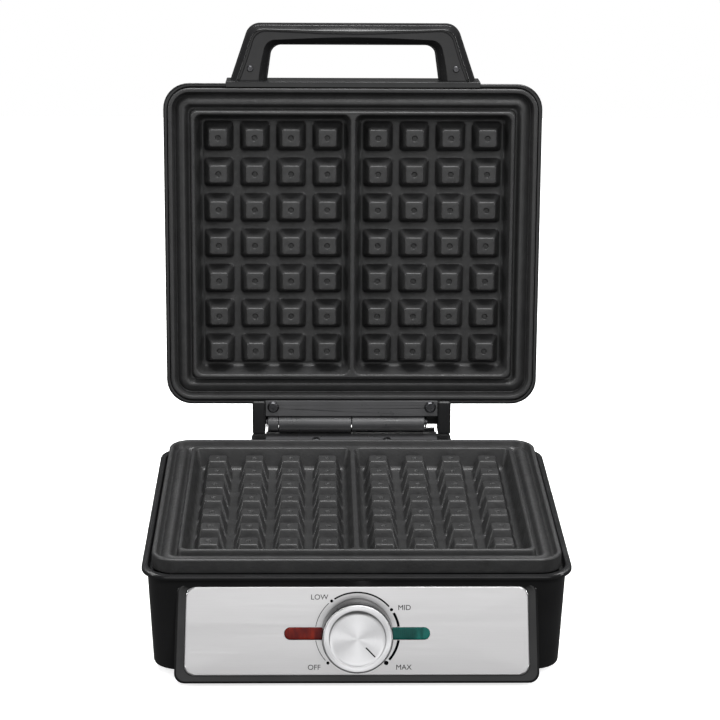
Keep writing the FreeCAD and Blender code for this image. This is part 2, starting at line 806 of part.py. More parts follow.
def add_nubs(body):
    """One dimpled square nub, repeated over both cavities."""
    floor = "-cavity_drop"
    front = "-nub_pitch * (nub_rows - 1) / 2"
    base = rectangle(body, "nub_base", "nub_base", floor, "nub_first", front)
    nub = pad(body, base, "nub_tall", "-nub_taper")
    top = circle(body, "dimple_radius", "-cavity_drop + nub_tall", "nub_first", front)
    dimple = pocket(body, top, "dimple_deep")
    grid = body.newObject("PartDesign::MultiTransform", "Nubs")
    grid.Originals = [nub, dimple]
    steps = []
    for name, axis, count in (("Columns", "H_Axis", "nub_columns"), ("Rows", "V_Axis", "nub_rows")):
        line = doc.addObject("PartDesign::LinearPattern", name)
        line.Direction = (base, [axis])
        bind(line, "Length", f"nub_pitch * ({count} - 1)")
        line.Occurrences = int(size(count))
        steps.append(line)
    halves = doc.addObject("PartDesign::Mirrored", "Halves")
    plane = [f for f in body.Origin.OriginFeatures if f.Role == "YZ_Plane"][0]
    halves.MirrorPlane = (plane, [""])
    steps.append(halves)
    for step in steps:
        body.addObject(step)
    grid.Transformations = steps
    body.Tip = grid
    doc.recompute()


def element_path(body, z):
    """The centre line of a tubular element: three sides of a rounded rectangle and two short ends."""
    sketch = new_sketch(body, z)
    x, y = size("element_x"), size("element_y")
    bend, start = size("element_bend"), size("element_start")
    corners = [(-x, -y), (-x, y), (x, y), (x, -y)]
    stops = [(-start, -y)] + corners + [(start, -y)]
    here = Vector(*stops[0], 0)
    for before, corner, after in zip(stops, stops[1:], stops[2:]):
        at = Vector(*corner, 0)
        way_in = (Vector(*before, 0) - at).normalize()
        way_out = (Vector(*after, 0) - at).normalize()
        enter, leave = at + way_in * bend, at + way_out * bend
        centre = at + (way_in + way_out) * bend
        middle = centre + (at - centre).normalize() * bend
        sketch.addGeometry(Part.LineSegment(here, enter), False)
        sketch.addGeometry(Part.Arc(enter, middle, leave), False)
        here = leave
    sketch.addGeometry(Part.LineSegment(here, Vector(*stops[-1], 0)), False)
    return sketch


def heater(side, placement):
    """Tubular element, its two cold pins, the tray that reflects its heat, and the screws."""
    body = new_body(side + "_heating_element")
    height = "-plate_height - element_radius"
    path = element_path(body, height)
    profile = new_sketch(body, "-element_start", "-element_y", height, role="YZ_Plane")
    profile.addGeometry(Part.Circle(Vector(), UP, size("element_radius")), False)
    doc.recompute()
    tube = body.newObject("PartDesign::AdditivePipe", "Tube")
    tube.Profile = profile
    tube.Spine = (path, [f"Edge{i + 1}" for i in range(len(path.Geometry))])
    doc.recompute()
    piece(body, side + "_heating_element", placement)
    along = Rotation(Vector(0, 1, 0), 90)
    pins = [cylinder(f"{side}_pin{i}", "terminal_radius", "terminal_long", x, "-element_y", height,
                     along)
            for i, x in enumerate(("-element_start", "element_start - terminal_long"))]
    piece(compound(side + "_element_terminals", pins), side + "_element_terminals", placement)
    tray = new_body(side + "_heat_shield")
    low = "-plate_height - shield_tall"
    block(tray, "shield_width", "shield_depth", "shield_corner", low, "shield_tall - 0.02")
    inner = rounded(tray, "shield_width - 2 * shield_thick", "shield_depth - 2 * shield_thick",
                    "shield_corner - shield_thick", "-plate_height")
    pocket(tray, inner, "shield_tall - shield_thick")
    for x, y in four("post_x", "post_y"):
        pocket(tray, circle(tray, "screw_radius + 0.1", low, x, y), "shield_thick", up=True)
    piece(tray, side + "_heat_shield", placement)
    turn = Rotation(ACROSS, 180)
    screws = [screw(f"{side}_plate_screw{i}", "8", x, y, low, turn)
              for i, (x, y) in enumerate(four("post_x", "post_y"))]
    piece(compound(side + "_plate_screws", screws), side + "_plate_screws", placement)


# hinge

def knuckle(name, low, high):
    """A rolled barrel with a bore for the pin, from low to high along X."""
    along = Rotation(Vector(0, 1, 0), 90)
    spot = (low, "hinge_y", "hinge_z", along)
    roll = cylinder(name, "barrel_radius", f"({high}) - ({low})", *spot)
    bore = cylinder(name + "_bore", "pin_radius + pin_play", f"({high}) - ({low})", *spot)
    return roll, bore


def lower_hinge():
    """Bracket on the hinge block: a foot, an upright behind the barrel and the left barrel."""
    roll, bore = knuckle("lower_barrel", "-knuckle", "-0.3")
    foot = box("lower_foot", "leaf_width", "22", "leaf_thick", "0", "hinge_y - 4.7", "block_top")
    upright = box("lower_upright", "knuckle - 0.3", "leaf_thick", "hinge_z - block_top",
                  "-(knuckle + 0.3) / 2", "hinge_y + barrel_radius - leaf_thick / 2", "block_top")
    solid = fuse("lower_hinge_bracket", [foot, upright, roll])
    spots = pair("foot_screw_x", FOOT_SCREW_Y)
    bracket = cut("lower_hinge_bracket", solid, [bore])
    bracket = drilled("lower_foot", bracket, spots, "4", "block_top + leaf_thick")
    piece(bracket, "lower_hinge_bracket", in_base())
    screws = [screw(f"lower_bracket_screw{i}", "8", x, y, "block_top + leaf_thick")
              for i, (x, y) in enumerate(spots)]
    piece(compound("lower_bracket_screws", screws), "lower_bracket_screws", in_base())


def upper_hinge():
    """Bracket on the lid: a flange along its back edge, the right barrel and the left tab."""
    under = "rim_z + closed_gap"
    deep = "flange_out - flange_in"
    thick = "leaf_thick - 0.9"
    edge = "(hinge_y - barrel_radius + 0.8)"
    long = f"({edge} - flange_in)"
    strip = box("flange_strip", "leaf_width", long, thick, "0", f"flange_in + {long} / 2", under)
    right, right_bore = knuckle("right_barrel", "0.3", "knuckle")
    tab, tab_bore = knuckle("tab_barrel", "-knuckle - 0.3 - tab_width", "-knuckle - 0.3")
    webs = [
        box("right_web", "knuckle - 0.3", thick, "hinge_z - ({0})".format(under),
            "(knuckle + 0.3) / 2", f"{edge} - ({thick}) / 2", under),
        box("tab_web", "tab_width", thick, "hinge_z - ({0})".format(under),
            "-knuckle - 0.3 - tab_width / 2", f"{edge} - ({thick}) / 2", under),
    ]
    solid = fuse("upper_hinge_bracket", [strip, right, tab] + webs)
    bracket = cut("upper_hinge_bracket", solid, [right_bore, tab_bore])
    turn = Rotation(ACROSS, 180)
    spots = pair("hinge_screw_x", FLANGE_Y)
    bracket = drilled("flange", bracket, spots, "9", under, turn)
    piece(bracket, "upper_hinge_bracket", in_lid())
    screws = [screw(f"upper_bracket_screw{i}", "9", x, y, under, turn, "4")
              for i, (x, y) in enumerate(spots)]
    piece(compound("upper_bracket_screws", screws), "upper_bracket_screws", in_lid())


def hinge_pin():
    along = Rotation(Vector(0, 1, 0), 90)
    start = "-knuckle - tab_width - 0.6"
    rod = cylinder("pin_rod", "pin_radius", "2 * knuckle + tab_width + 2.6", start, "hinge_y",
                   "hinge_z", along)
    head = cylinder("pin_head", "pin_radius + 1.6", "0.9", f"{start} - 0.9", "hinge_y", "hinge_z",
                    along)
    piece(fuse("hinge_pin", [rod, head]), "hinge_pin", in_base())
    ring = cylinder("clip_ring", "pin_radius + 2", "0.8", "knuckle + 0.6", "hinge_y", "hinge_z", along)
    hole = cylinder("clip_hole", "pin_radius + 0.02", "2", "knuckle", "hinge_y", "hinge_z", along)
    piece(cut("hinge_pin_clip", ring, [hole]), "hinge_pin_clip", in_base())


# lid

def shell_envelope(name):
    """The outside of the lid's shell, drawing in towards its domed top."""
    body = new_body(name)
    tall = "shell_top - shell_low"
    block(body, "shell_width", "shell_depth", "shell_corner", "shell_low", tall, "-shell_taper")
    round_edges(body, near_z("shell_top"), "shell_dome")
    return body


def lid_shell():
    """Domed cover, open below, with a hood over the hinge between two ears."""
    body = shell_envelope("lid_shell")
    hollow = rounded(body, "plate_width + 0.6", "plate_depth + 0.6", "plate_corner + 0.3",
                     "shell_low")
    pocket(body, hollow, "rim_z + closed_gap + plate_flange - shell_low", up=True)
    inner = rounded(body, "plate_width - shell_inner", "plate_depth - shell_inner",
                    "cavity_corner", "shell_low")
    pocket(body, inner, "shell_top - shell_low - shell_skin", up=True)
    rebate = rectangle(body, "leaf_width + 0.4", "12", "shell_low", y="flange_in + 6 - 0.3")
    pocket(body, rebate, "0.3", up=True)
    for side in ("", "-"):
        middle = f"{side}(ear_in + ear_out) / 2"
        deep = "hinge_y + ear_behind - ear_front"
        ear = rectangle(body, "ear_out - ear_in", deep, "ear_low", middle,
                        "(hinge_y + ear_behind + ear_front) / 2")
        pad(body, ear, "ear_top - ear_low")
    seat = box("flange_seat", "leaf_width", "flange_out - ear_front", "8", "0",
               "(flange_out + ear_front) / 2", "shell_low + 0.3")
    hood = box("hinge_hood", "2 * ear_in + 1", "hinge_y + hood_behind - ear_front + 4",
               "ear_top - hood_low", "0", "(hinge_y + hood_behind + ear_front - 4) / 2", "hood_low")
    shape = fuse("lid_shell", [body, seat, hood])
    turn = Rotation(ACROSS, 180)
    spots = pair("hinge_screw_x", FLANGE_Y)
    shape = drilled("shell", shape, spots, "9.5", "rim_z + closed_gap", turn)
    return piece(shape, "lid_shell", in_lid())


def handle_loop(name, low, thick, inset):
    """A trapezoid loop beyond the foot strip, drawn in by inset all round."""
    body = new_body(name)
    foot = "-shell_depth / 2 - grip_foot_deep"
    reach = f"grip_reach - grip_foot_deep - {inset}"
    outline = trapezoid(body, f"grip_end - 2 * {inset}", f"grip_base - 2 * {inset}", reach, "0", low,
                        y=foot)
    pad(body, outline, thick)
    far = size(f"{foot} - ({reach}) + 1")
    round_edges(body, lambda e: is_upright(e) and e.BoundBox.YMax < far, "grip_corner")
    bar = f"grip_reach - grip_foot_deep - grip_bar + {inset}"
    gap = trapezoid(body, f"grip_inner_end + 2 * {inset}", f"grip_inner_base + 2 * {inset}", bar, "1",
                    low, y=foot)
    pocket(body, gap, thick, up=True)
    side = size(f"grip_inner_end / 2 + {inset} + 1")
    near = size(f"{foot} - ({bar}) + 1")
    round_edges(body, lambda e: is_upright(e) and abs(e.BoundBox.XMin) < side
                and e.BoundBox.YMax < near, "grip_inner_corner")
    return body


def handle():
    """Two half loops screwed together, on a foot strip along the free edge of the lid."""
    deep = "(grip_foot_deep + shell_depth / 2 - ear_front)"
    strip = box("foot_strip", "grip_foot", deep, "grip_foot_tall", "0",
                f"-ear_front - {deep} / 2", "grip_foot_low")
    piece(cut("handle_foot", strip, [shell_envelope("foot_room")]), "handle_foot", in_lid())
    turn = Rotation(ACROSS, 180)
    spots = pair("grip_screw_x", "-shell_depth / 2 - grip_foot_deep - 8")
    top = handle_loop("handle_grip", "grip_low + grip_cover", "grip_thick - grip_cover", "0")
    shape = drilled("grip", top, spots, "14", "grip_low", turn)
    piece(shape, "handle_grip", in_lid())
    cover = handle_loop("handle_cover", "grip_low", "grip_cover", "grip_step")
    shape = drilled("cover", cover, spots, "14", "grip_low", turn)
    piece(shape, "handle_cover", in_lid())
    screws = [screw(f"handle_screw{i}", "13", x, y, "grip_low", turn, "2.2")
              for i, (x, y) in enumerate(spots)]
    piece(compound("handle_screws", screws), "handle_screws", in_lid())


def build():
    base_housing()
    front_bezel()
    control_panel()
    lens("green_lens", "")
    lens("red_lens", "-")
    lamps()
    thermostat()
    knob()
    bottom()
    cord_inlet()
    bezel_screws()
    lower = in_base(z="rim_z")
    grid_plate("lower_plate", lower)
    heater("lower", lower)
    lower_hinge()
    hinge_pin()
    upper = in_lid(z="rim_z + closed_gap", turn=Rotation(ACROSS, 180))
    grid_plate("upper_plate", upper)
    heater("upper", upper)
    upper_hinge()
    lid_shell()
    handle()


def check_and_export():
    doc.recompute()
    for thing in doc.Objects:
        if "Invalid" in thing.State or "Error" in thing.State:
            raise RuntimeError(f"{thing.Name} ({thing.Label}) is {thing.State}")
    os.makedirs("parts", exist_ok=True)
    for thing in parts:
        shape = thing.Shape
        if shape.isNull() or not shape.isValid():
            raise RuntimeError(f"{thing.Label} has no valid shape")
        shape.exportStep(os.path.join("parts", thing.Label + ".step"))
        span = shape.optimalBoundingBox(False)
        print(f"{thing.Label}: {len(shape.Solids)} solid(s), {shape.Volume / 1000:.2f} cm3, "
              f"x {span.XMin:.1f}..{span.XMax:.1f} y {span.YMin:.1f}..{span.YMax:.1f} "
              f"z {span.ZMin:.1f}..{span.ZMax:.1f}")


build()
check_and_export()
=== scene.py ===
"""Looks of the double waffle maker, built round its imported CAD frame.

Shapes are drawn in millimetres in four local frames and scaled to metres:
  BASE   X right, Y back from the middle of the lower plate, Z up from the table
  LID    the same for the closed lid, then swung open about the hinge
  PANEL  X right, Y up the tilted front panel, Z out of it, about the knob's axis
  plate  about the middle of a grid plate, Z = 0 at its rim
"""

import json
import math

import bmesh
import bpy
from mathutils import Matrix, Vector

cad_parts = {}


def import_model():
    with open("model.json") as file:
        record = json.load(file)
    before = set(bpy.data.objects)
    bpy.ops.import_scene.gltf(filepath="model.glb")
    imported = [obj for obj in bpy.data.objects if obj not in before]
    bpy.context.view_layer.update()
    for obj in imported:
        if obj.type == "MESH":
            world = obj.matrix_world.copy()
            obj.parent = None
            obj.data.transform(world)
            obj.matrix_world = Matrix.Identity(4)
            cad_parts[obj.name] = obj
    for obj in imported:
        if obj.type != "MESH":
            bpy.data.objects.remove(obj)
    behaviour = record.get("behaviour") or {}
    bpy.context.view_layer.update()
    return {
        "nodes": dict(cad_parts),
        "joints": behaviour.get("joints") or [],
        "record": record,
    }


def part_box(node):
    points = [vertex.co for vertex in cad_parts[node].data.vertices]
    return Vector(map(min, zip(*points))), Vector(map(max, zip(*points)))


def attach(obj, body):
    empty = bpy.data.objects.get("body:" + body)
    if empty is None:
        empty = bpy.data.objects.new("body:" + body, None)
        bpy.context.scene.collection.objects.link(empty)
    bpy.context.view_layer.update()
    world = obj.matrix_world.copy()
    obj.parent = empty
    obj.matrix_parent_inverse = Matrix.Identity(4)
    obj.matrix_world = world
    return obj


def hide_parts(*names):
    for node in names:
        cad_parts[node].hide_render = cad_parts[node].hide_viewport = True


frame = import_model()
nodes = frame["nodes"]
joints = {joint["name"]: joint for joint in frame["joints"]}

MM = 0.001
OPEN_ANGLE = joints["lid_hinge"]["range_deg"][1]
HINGE = Vector(joints["lid_hinge"]["pos_m"])
PANEL_AXIS = Vector(joints["knob_turn"]["axis"])
PANEL_ORIGIN = Vector(joints["knob_turn"]["pos_m"])

plate_low, plate_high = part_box("lower_plate")
PLATE_Y = (plate_low.y + plate_high.y) / 2
RIM_Z = plate_high.z
CLOSED_GAP = 0.0005

BASE = Matrix.Translation((0, PLATE_Y, 0))
swing = Matrix.Rotation(math.radians(-OPEN_ANGLE), 4, "X")
LID = Matrix.Translation(HINGE) @ swing @ Matrix.Translation(-HINGE) @ BASE
panel_up = PANEL_AXIS.cross(Vector((1, 0, 0)))
PANEL = Matrix.Translation(PANEL_ORIGIN) @ Matrix(
    ((1, panel_up.x, PANEL_AXIS.x), (0, panel_up.y, PANEL_AXIS.y), (0, panel_up.z, PANEL_AXIS.z))
).to_4x4()
LOWER_PLATE = BASE @ Matrix.Translation((0, 0, RIM_Z))
UPPER_PLATE = LID @ Matrix.Translation((0, 0, RIM_Z + CLOSED_GAP)) @ Matrix.Rotation(math.pi, 4, "X")


# ---------------------------------------------------------------- mesh helpers

def arc(centre_x, centre_y, radius, start, stop, steps):
    """Points of an arc, from start to stop in degrees."""
    points = []
    for i in range(steps + 1):
        angle = math.radians(start + (stop - start) * i / steps)
        points.append((centre_x + radius * math.cos(angle), centre_y + radius * math.sin(angle)))
    return points


def rounded_rectangle(width, depth, radius, steps=8, x=0.0, y=0.0):
    """Anticlockwise points about x, y."""
    half_x, half_y = width / 2 - radius, depth / 2 - radius
    points = []
    for quarter, (a, b) in enumerate([(1, -1), (1, 1), (-1, 1), (-1, -1)]):
        start = 90 * quarter - 90
        points += arc(x + a * half_x, y + b * half_y, radius, start, start + 90, steps)
    return points


def rounded_polygon(corners, radii, steps=8):
    """Anticlockwise corners, each with its own radius, as points with an arc at each corner."""
    points = []
    count = len(corners)
    for i in range(count):
        here = Vector(corners[i])
        before = (Vector(corners[i - 1]) - here).normalized()
        after = (Vector(corners[(i + 1) % count]) - here).normalized()
        points += fillet(here, before, after, radii[i], steps)
    return points


def fillet(here, before, after, radius, steps):
    """The arc that rounds one corner, from the side before it to the side after it."""
    half = before.angle(after) / 2
    reach = radius / math.tan(half)
    centre = here + (before + after).normalized() * (radius / math.sin(half))
    first = here + before * reach - centre
    last = here + after * reach - centre
    turn = first.angle_signed(last)
    spin = -turn
    start = math.atan2(first.y, first.x)
    return [(centre.x + radius * math.cos(start + spin * i / steps),
             centre.y + radius * math.sin(start + spin * i / steps)) for i in range(steps + 1)]


def lift(outline, z):
    return [(x, y, z) for x, y in outline]


class Shape:
    """A mesh under construction, in millimetres."""

    def __init__(self):
        self.bm = bmesh.new()

    def ring(self, points):
        return [self.bm.verts.new(point) for point in points]

    def skin(self, first, second):
        """Quads from one ring to the next."""
        count = len(first)
        for i in range(count):
            j = (i + 1) % count
            self.bm.faces.new((first[i], first[j], second[j], second[i]))

    def loft(self, rings, capped=True, looped=False):
        """Skin from ring to ring, each a list of 3-D points. Returns the rings' vertices."""
        made = [self.ring(points) for points in rings]
        for first, second in zip(made, made[1:]):
            self.skin(first, second)
        if looped:
            self.skin(made[-1], made[0])
        elif capped:
            self.bm.faces.new(made[0][::-1])
            self.bm.faces.new(made[-1])
        return made

    def fill(self, loops):
        """A flat face inside the first loop of vertices and round the others."""
        edges = []
        for loop in loops:
            for a, b in zip(loop, loop[1:] + loop[:1]):
                edges.append(self.bm.edges.get((a, b)) or self.bm.edges.new((a, b)))
        bmesh.ops.triangle_fill(self.bm, use_beauty=True, edges=edges)

    def block(self, low, high, bevel, steps=2):
        """A box from corner to corner, with every edge rounded."""
        size = [b - a for a, b in zip(low, high)]
        middle = [(a + b) / 2 for a, b in zip(low, high)]
        place = Matrix.Translation(middle) @ Matrix.Diagonal((*size, 1))
        made = bmesh.ops.create_cube(self.bm, size=1, matrix=place)["verts"]
        edges = list({edge for vert in made for edge in vert.link_edges})
        bmesh.ops.bevel(self.bm, geom=edges, offset=bevel, segments=steps, profile=0.5,
                        affect="EDGES", clamp_overlap=True)

    def turned(self, profile, steps=64, place=None, looped=False):
        """A lathe shape about Z: profile is (radius, z) from one end to the other."""
        rings = []
        for radius, z in profile:
            rings.append([(radius * math.cos(math.tau * i / steps),
                           radius * math.sin(math.tau * i / steps), z) for i in range(steps)])
        if place:
            rings = [[place @ Vector(point) for point in points] for points in rings]
        return self.loft(rings, looped=looped)

    def piece(self, name, place, body, material, slot=None, replaces=(), smooth_angle=35, baked=True):
        """The finished object: placed, shaded smooth and riding on its body."""
        bmesh.ops.recalc_face_normals(self.bm, faces=self.bm.faces)
        mesh = bpy.data.meshes.new(name)
        self.bm.to_mesh(mesh)
        self.bm.free()
        mesh.transform(Matrix.Scale(MM, 4))
        made = bpy.data.objects.new(name, mesh)
        bpy.context.scene.collection.objects.link(made)
        return finish_piece(made, place, body, material, replaces, smooth_angle, baked)


def finish_piece(made, place, body, material, replaces=(), smooth_angle=35, baked=True):
    """Place and shade a piece; baked puts its place into the mesh, so its box fits closely."""
    if baked:
        made.data.transform(place)
    else:
        made.matrix_world = place
    made.data.materials.clear()
    made.data.materials.append(material)
    made.data.shade_smooth()
    made.data.set_sharp_from_angle(angle=math.radians(smooth_angle))
    weighted = made.modifiers.new("Weighted", "WEIGHTED_NORMAL")
    weighted.keep_sharp = True
    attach(made, body)
    if replaces:
        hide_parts(*replaces)
    return made


def rounding(inner, outer, z_inner, z_outer, steps=4):
    """(inset, z) pairs of a quarter round, from (inner, z_inner) to (outer, z_outer)."""
    points = []
    for i in range(steps + 1):
        angle = math.pi / 2 * i / steps
        points.append((inner + (outer - inner) * math.sin(angle),
                       z_outer + (z_inner - z_outer) * math.cos(angle)))
    return points


# ---------------------------------------------------------------- materials

class Paint:
    """A Principled material, with helpers for its procedural detail."""

    def __init__(self, name, colour, roughness=0.5, metallic=0.0, **sockets):
        self.material = bpy.data.materials.new(name)
        self.material.use_nodes = True
        self.tree = self.material.node_tree
        self.shader = self.tree.nodes["Principled BSDF"]
        self.colour = (*colour, 1)
        self.shader.inputs["Base Color"].default_value = self.colour
        self.shader.inputs["Roughness"].default_value = roughness
        self.shader.inputs["Metallic"].default_value = metallic
        for socket, value in sockets.items():
            self.shader.inputs[socket.replace("_", " ")].default_value = value
        self.coordinates = self.tree.nodes.new("ShaderNodeTexCoord").outputs["Object"]
        self.normal = None

    def node(self, kind, **values):
        made = self.tree.nodes.new(kind)
        for key, value in values.items():
            if hasattr(made, key):
                setattr(made, key, value)
            else:
                made.inputs[key].default_value = value
        return made

    def link(self, output, target):
        self.tree.links.new(output, target)

    def stretched(self, scale):
        mapping = self.node("ShaderNodeMapping")
        mapping.inputs["Scale"].default_value = scale
        self.link(self.coordinates, mapping.inputs["Vector"])
        return mapping.outputs["Vector"]

    def noise(self, scale, detail=3.0, roughness=0.55, stretch=None):
        made = self.node("ShaderNodeTexNoise", Scale=scale, Detail=detail, Roughness=roughness)
        self.link(self.stretched(stretch) if stretch else self.coordinates, made.inputs["Vector"])
        return made.outputs["Fac"]

    def spots(self, scale):
        made = self.node("ShaderNodeTexVoronoi", Scale=scale)
        self.link(self.coordinates, made.inputs["Vector"])
        return made.outputs["Distance"]

    def ramp(self, value, low, high, start, end):
        """value between low and high becomes start to end."""
        made = self.node("ShaderNodeMapRange")
        made.inputs["From Min"].default_value = low
        made.inputs["From Max"].default_value = high
        made.inputs["To Min"].default_value = start
        made.inputs["To Max"].default_value = end
        self.link(value, made.inputs["Value"])
        return made.outputs["Result"]

    def shade(self, value, darker, lighter):
        """Mix the base colour between a darker and a lighter share of itself by value."""
        made = self.node("ShaderNodeMix", data_type="RGBA")
        made.inputs[6].default_value = (*[c * darker for c in self.colour[:3]], 1)
        made.inputs[7].default_value = (*[min(c * lighter, 1) for c in self.colour[:3]], 1)
        self.link(value, made.inputs[0])
        self.link(made.outputs[2], self.shader.inputs["Base Color"])
        return made.outputs[2]

    def tint(self, value, colour):
        """Mix what the base colour is so far with another colour by value."""
        source = self.shader.inputs["Base Color"]
        made = self.node("ShaderNodeMix", data_type="RGBA")
        if source.links:
            self.link(source.links[0].from_socket, made.inputs[6])
        else:
            made.inputs[6].default_value = self.colour
        made.inputs[7].default_value = (*colour, 1)
        self.link(value, made.inputs[0])
        self.link(made.outputs[2], source)

    def rough(self, value, low, high):
        self.link(self.ramp(value, 0.3, 0.7, low, high), self.shader.inputs["Roughness"])

    def bump(self, value, strength, distance):
        """Add one more layer of bump."""
        made = self.node("ShaderNodeBump", Strength=strength, Distance=distance)
        self.link(value, made.inputs["Height"])
        if self.normal:
            self.link(self.normal, made.inputs["Normal"])
        self.normal = made.outputs["Normal"]
        self.link(self.normal, self.shader.inputs["Normal"])


def gloss_black(name, colour, low, high, orange_peel, level=0.35):
    paint = Paint(name, colour, low, Specular_IOR_Level=level)
    paint.shade(paint.noise(35, 4), 0.75, 1.35)
    paint.rough(paint.noise(60, 5), low, high)
    paint.bump(paint.noise(420, 2), orange_peel, 0.0004)
    paint.bump(paint.noise(2600, 2), orange_peel * 0.5, 0.0001)
    return paint.material


def textured(name, colour, low, high, grain, strength, level=0.4):
    paint = Paint(name, colour, low, Specular_IOR_Level=level)
    paint.shade(paint.noise(50, 5), 0.7, 1.4)
    paint.rough(paint.noise(120, 4), low, high)
    paint.bump(paint.noise(grain, 3), strength, 0.0003)
    return paint.material


def nonstick():
    """Cast metal under a non-stick coat with a fine speckled bump, and sparse light specks painted in as
    glints.
    """
    paint = Paint("nonstick_coat", (0.023, 0.023, 0.0233), 0.36, Specular_IOR_Level=0.35)
    paint.shade(paint.noise(90, 6, 0.65), 0.6, 1.5)
    # painted glints: light specks in sparse patches, mixed into the colour
    glint_specks = paint.ramp(paint.spots(1150), 0.05, 0.16, 1.0, 0.0)
    glint_patches = paint.ramp(paint.noise(420, 2), 0.52, 0.62, 0.0, 1.0)
    painted_glints = paint.node("ShaderNodeMath", operation="MULTIPLY")
    paint.link(glint_specks, painted_glints.inputs[0])
    paint.link(glint_patches, painted_glints.inputs[1])
    paint.tint(painted_glints.outputs[0], (0.16, 0.16, 0.165))
    paint.rough(paint.noise(260, 5, 0.7), 0.27, 0.5)
    paint.bump(paint.noise(900, 4, 0.7), 0.32, 0.0004)
    paint.bump(paint.noise(240, 3), 0.2, 0.0006)
    return paint.material


def brushed(name, colour, low, high, stretch):
    """Sheet metal with fine lines along one direction."""
    paint = Paint(name, colour, low, 1.0, Anisotropic=0.4)
    lines = paint.noise(1, 6, 0.7, stretch)
    paint.shade(lines, 0.9, 1.08)
    paint.rough(lines, low, high)
    paint.bump(lines, 0.12, 0.00004)
    return paint.material


def metal(name, colour, low, high, tarnish):
    paint = Paint(name, colour, low, 1.0)
    paint.shade(paint.noise(140, 5, 0.65), 0.75, 1.1)
    paint.tint(paint.ramp(paint.noise(45, 4), 0.45, 0.75, 0.0, 0.5), tarnish)
    paint.rough(paint.noise(200, 4), low, high)
    paint.bump(paint.noise(700, 3), 0.15, 0.0001)
    return paint.material


def spun(name, colour, low, high):
    """Turned metal: fine circles about Z and the fan of light they make."""
    paint = Paint(name, colour, low, 1.0, Anisotropic=0.85)
    split = paint.node("ShaderNodeSeparateXYZ")
    paint.link(paint.coordinates, split.inputs[0])
    flat = paint.node("ShaderNodeCombineXYZ")
    paint.link(split.outputs[0], flat.inputs[0])
    paint.link(split.outputs[1], flat.inputs[1])
    length = paint.node("ShaderNodeVectorMath", operation="LENGTH")
    paint.link(flat.outputs[0], length.inputs[0])
    radial = paint.node("ShaderNodeCombineXYZ")
    paint.link(length.outputs["Value"], radial.inputs[0])
    lines = paint.node("ShaderNodeTexNoise", Scale=5200.0, Detail=3.0)
    paint.link(radial.outputs[0], lines.inputs["Vector"])
    paint.shade(lines.outputs["Fac"], 0.93, 1.03)
    paint.rough(lines.outputs["Fac"], low, high)
    paint.bump(lines.outputs["Fac"], 0.08, 0.00003)
    tangent = paint.node("ShaderNodeTangent", direction_type="RADIAL", axis="Z")
    paint.link(tangent.outputs[0], paint.shader.inputs["Tangent"])
    return paint.material


def lens_glass(name, colour, glow, deep):
    """Clear coloured plastic with the lamp's light unevenly behind it."""
    paint = Paint(name, colour, 0.12, Specular_IOR_Level=0.08, Coat_Weight=0.03, Coat_Roughness=0.05)
    paint.shade(paint.noise(160, 3), 0.55, 1.5)
    paint.tint(paint.ramp(paint.noise(1, 2, 0.5, (170, 40, 40)), 0.5, 0.66, 0.0, 0.8), glow)
    paint.tint(paint.ramp(paint.noise(1, 2, 0.5, (95, 25, 25)), 0.55, 0.7, 0.0, 0.7), deep)
    paint.rough(paint.noise(300, 3), 0.08, 0.2)
    return paint.material


GLOSS = gloss_black("gloss_plastic", (0.010, 0.010, 0.0104), 0.16, 0.26, 0.05, 0.3)
SATIN = gloss_black("satin_plastic", (0.010, 0.010, 0.0105), 0.28, 0.4, 0.08, 0.25)
MATTE = textured("matte_plastic", (0.013, 0.013, 0.013), 0.55, 0.75, 1100, 0.25)
RUBBER = textured("foot_rubber", (0.012, 0.012, 0.012), 0.7, 0.9, 700, 0.35, 0.2)
COATED = textured("coated_steel", (0.045, 0.045, 0.047), 0.26, 0.42, 1500, 0.25, 0.6)
OXIDE = metal("oxide_steel", (0.09, 0.09, 0.095), 0.25, 0.45, (0.02, 0.02, 0.022))
CASTING = nonstick()
PANEL_STEEL = brushed("satin_stainless", (0.64, 0.635, 0.64), 0.34, 0.46, (18, 400, 2600))
# the panel's rolled edge: the same steel painted much lighter, a painted highlight
EDGE_PAINTED_HIGHLIGHT = brushed("edge_painted_highlight", (0.93, 0.93, 0.94), 0.12, 0.22, (30, 900, 900))
SPUN = spun("spun_aluminium", (0.66, 0.66, 0.67), 0.26, 0.38)
ZINC = metal("zinc_plate", (0.62, 0.62, 0.6), 0.25, 0.45, (0.42, 0.4, 0.34))
ELEMENT = metal("element_tube", (0.3, 0.29, 0.27), 0.3, 0.5, (0.16, 0.11, 0.08))
BRASS = metal("brass", (0.72, 0.52, 0.2), 0.2, 0.35, (0.42, 0.28, 0.1))
CERAMIC = textured("ceramic", (0.78, 0.76, 0.7), 0.4, 0.55, 800, 0.12)
LAMP = textured("lamp_glass", (0.62, 0.4, 0.3), 0.08, 0.2, 300, 0.05)
INK = textured("dial_ink", (0.003, 0.003, 0.004), 0.6, 0.8, 1500, 0.1, 0.02)
RED = lens_glass("red_lens", (0.1, 0.008, 0.007), (0.27, 0.022, 0.008), (0.045, 0.003, 0.006))
GREEN = lens_glass("green_lens", (0.006, 0.07, 0.06), (0.016, 0.18, 0.15), (0.003, 0.035, 0.03))

CAD_FINISH = {
    "black_gloss_plastic": GLOSS,
    "black_satin_plastic": SATIN,
    "black_matte_plastic": MATTE,
    "stainless_panel": PANEL_STEEL,
    "nonstick_cast": CASTING,
    "knob_spun_metal": SPUN,
    "zinc_steel": ZINC,
    "element_steel": ELEMENT,
    "brass_pins": BRASS,
    "black_steel": COATED,
    "black_screws": OXIDE,
    "black_rubber": RUBBER,
    "white_ceramic": CERAMIC,
    "lamp_glass": LAMP,
    "red_lens": RED,
    "green_lens": GREEN,
}
for part in frame["record"]["subparts"]:
    finish = CAD_FINISH[part["material_slot"]]
    data = nodes[part["node"]].data
    data.materials.clear()
    data.materials.append(finish)


# ---------------------------------------------------------------- grid plates

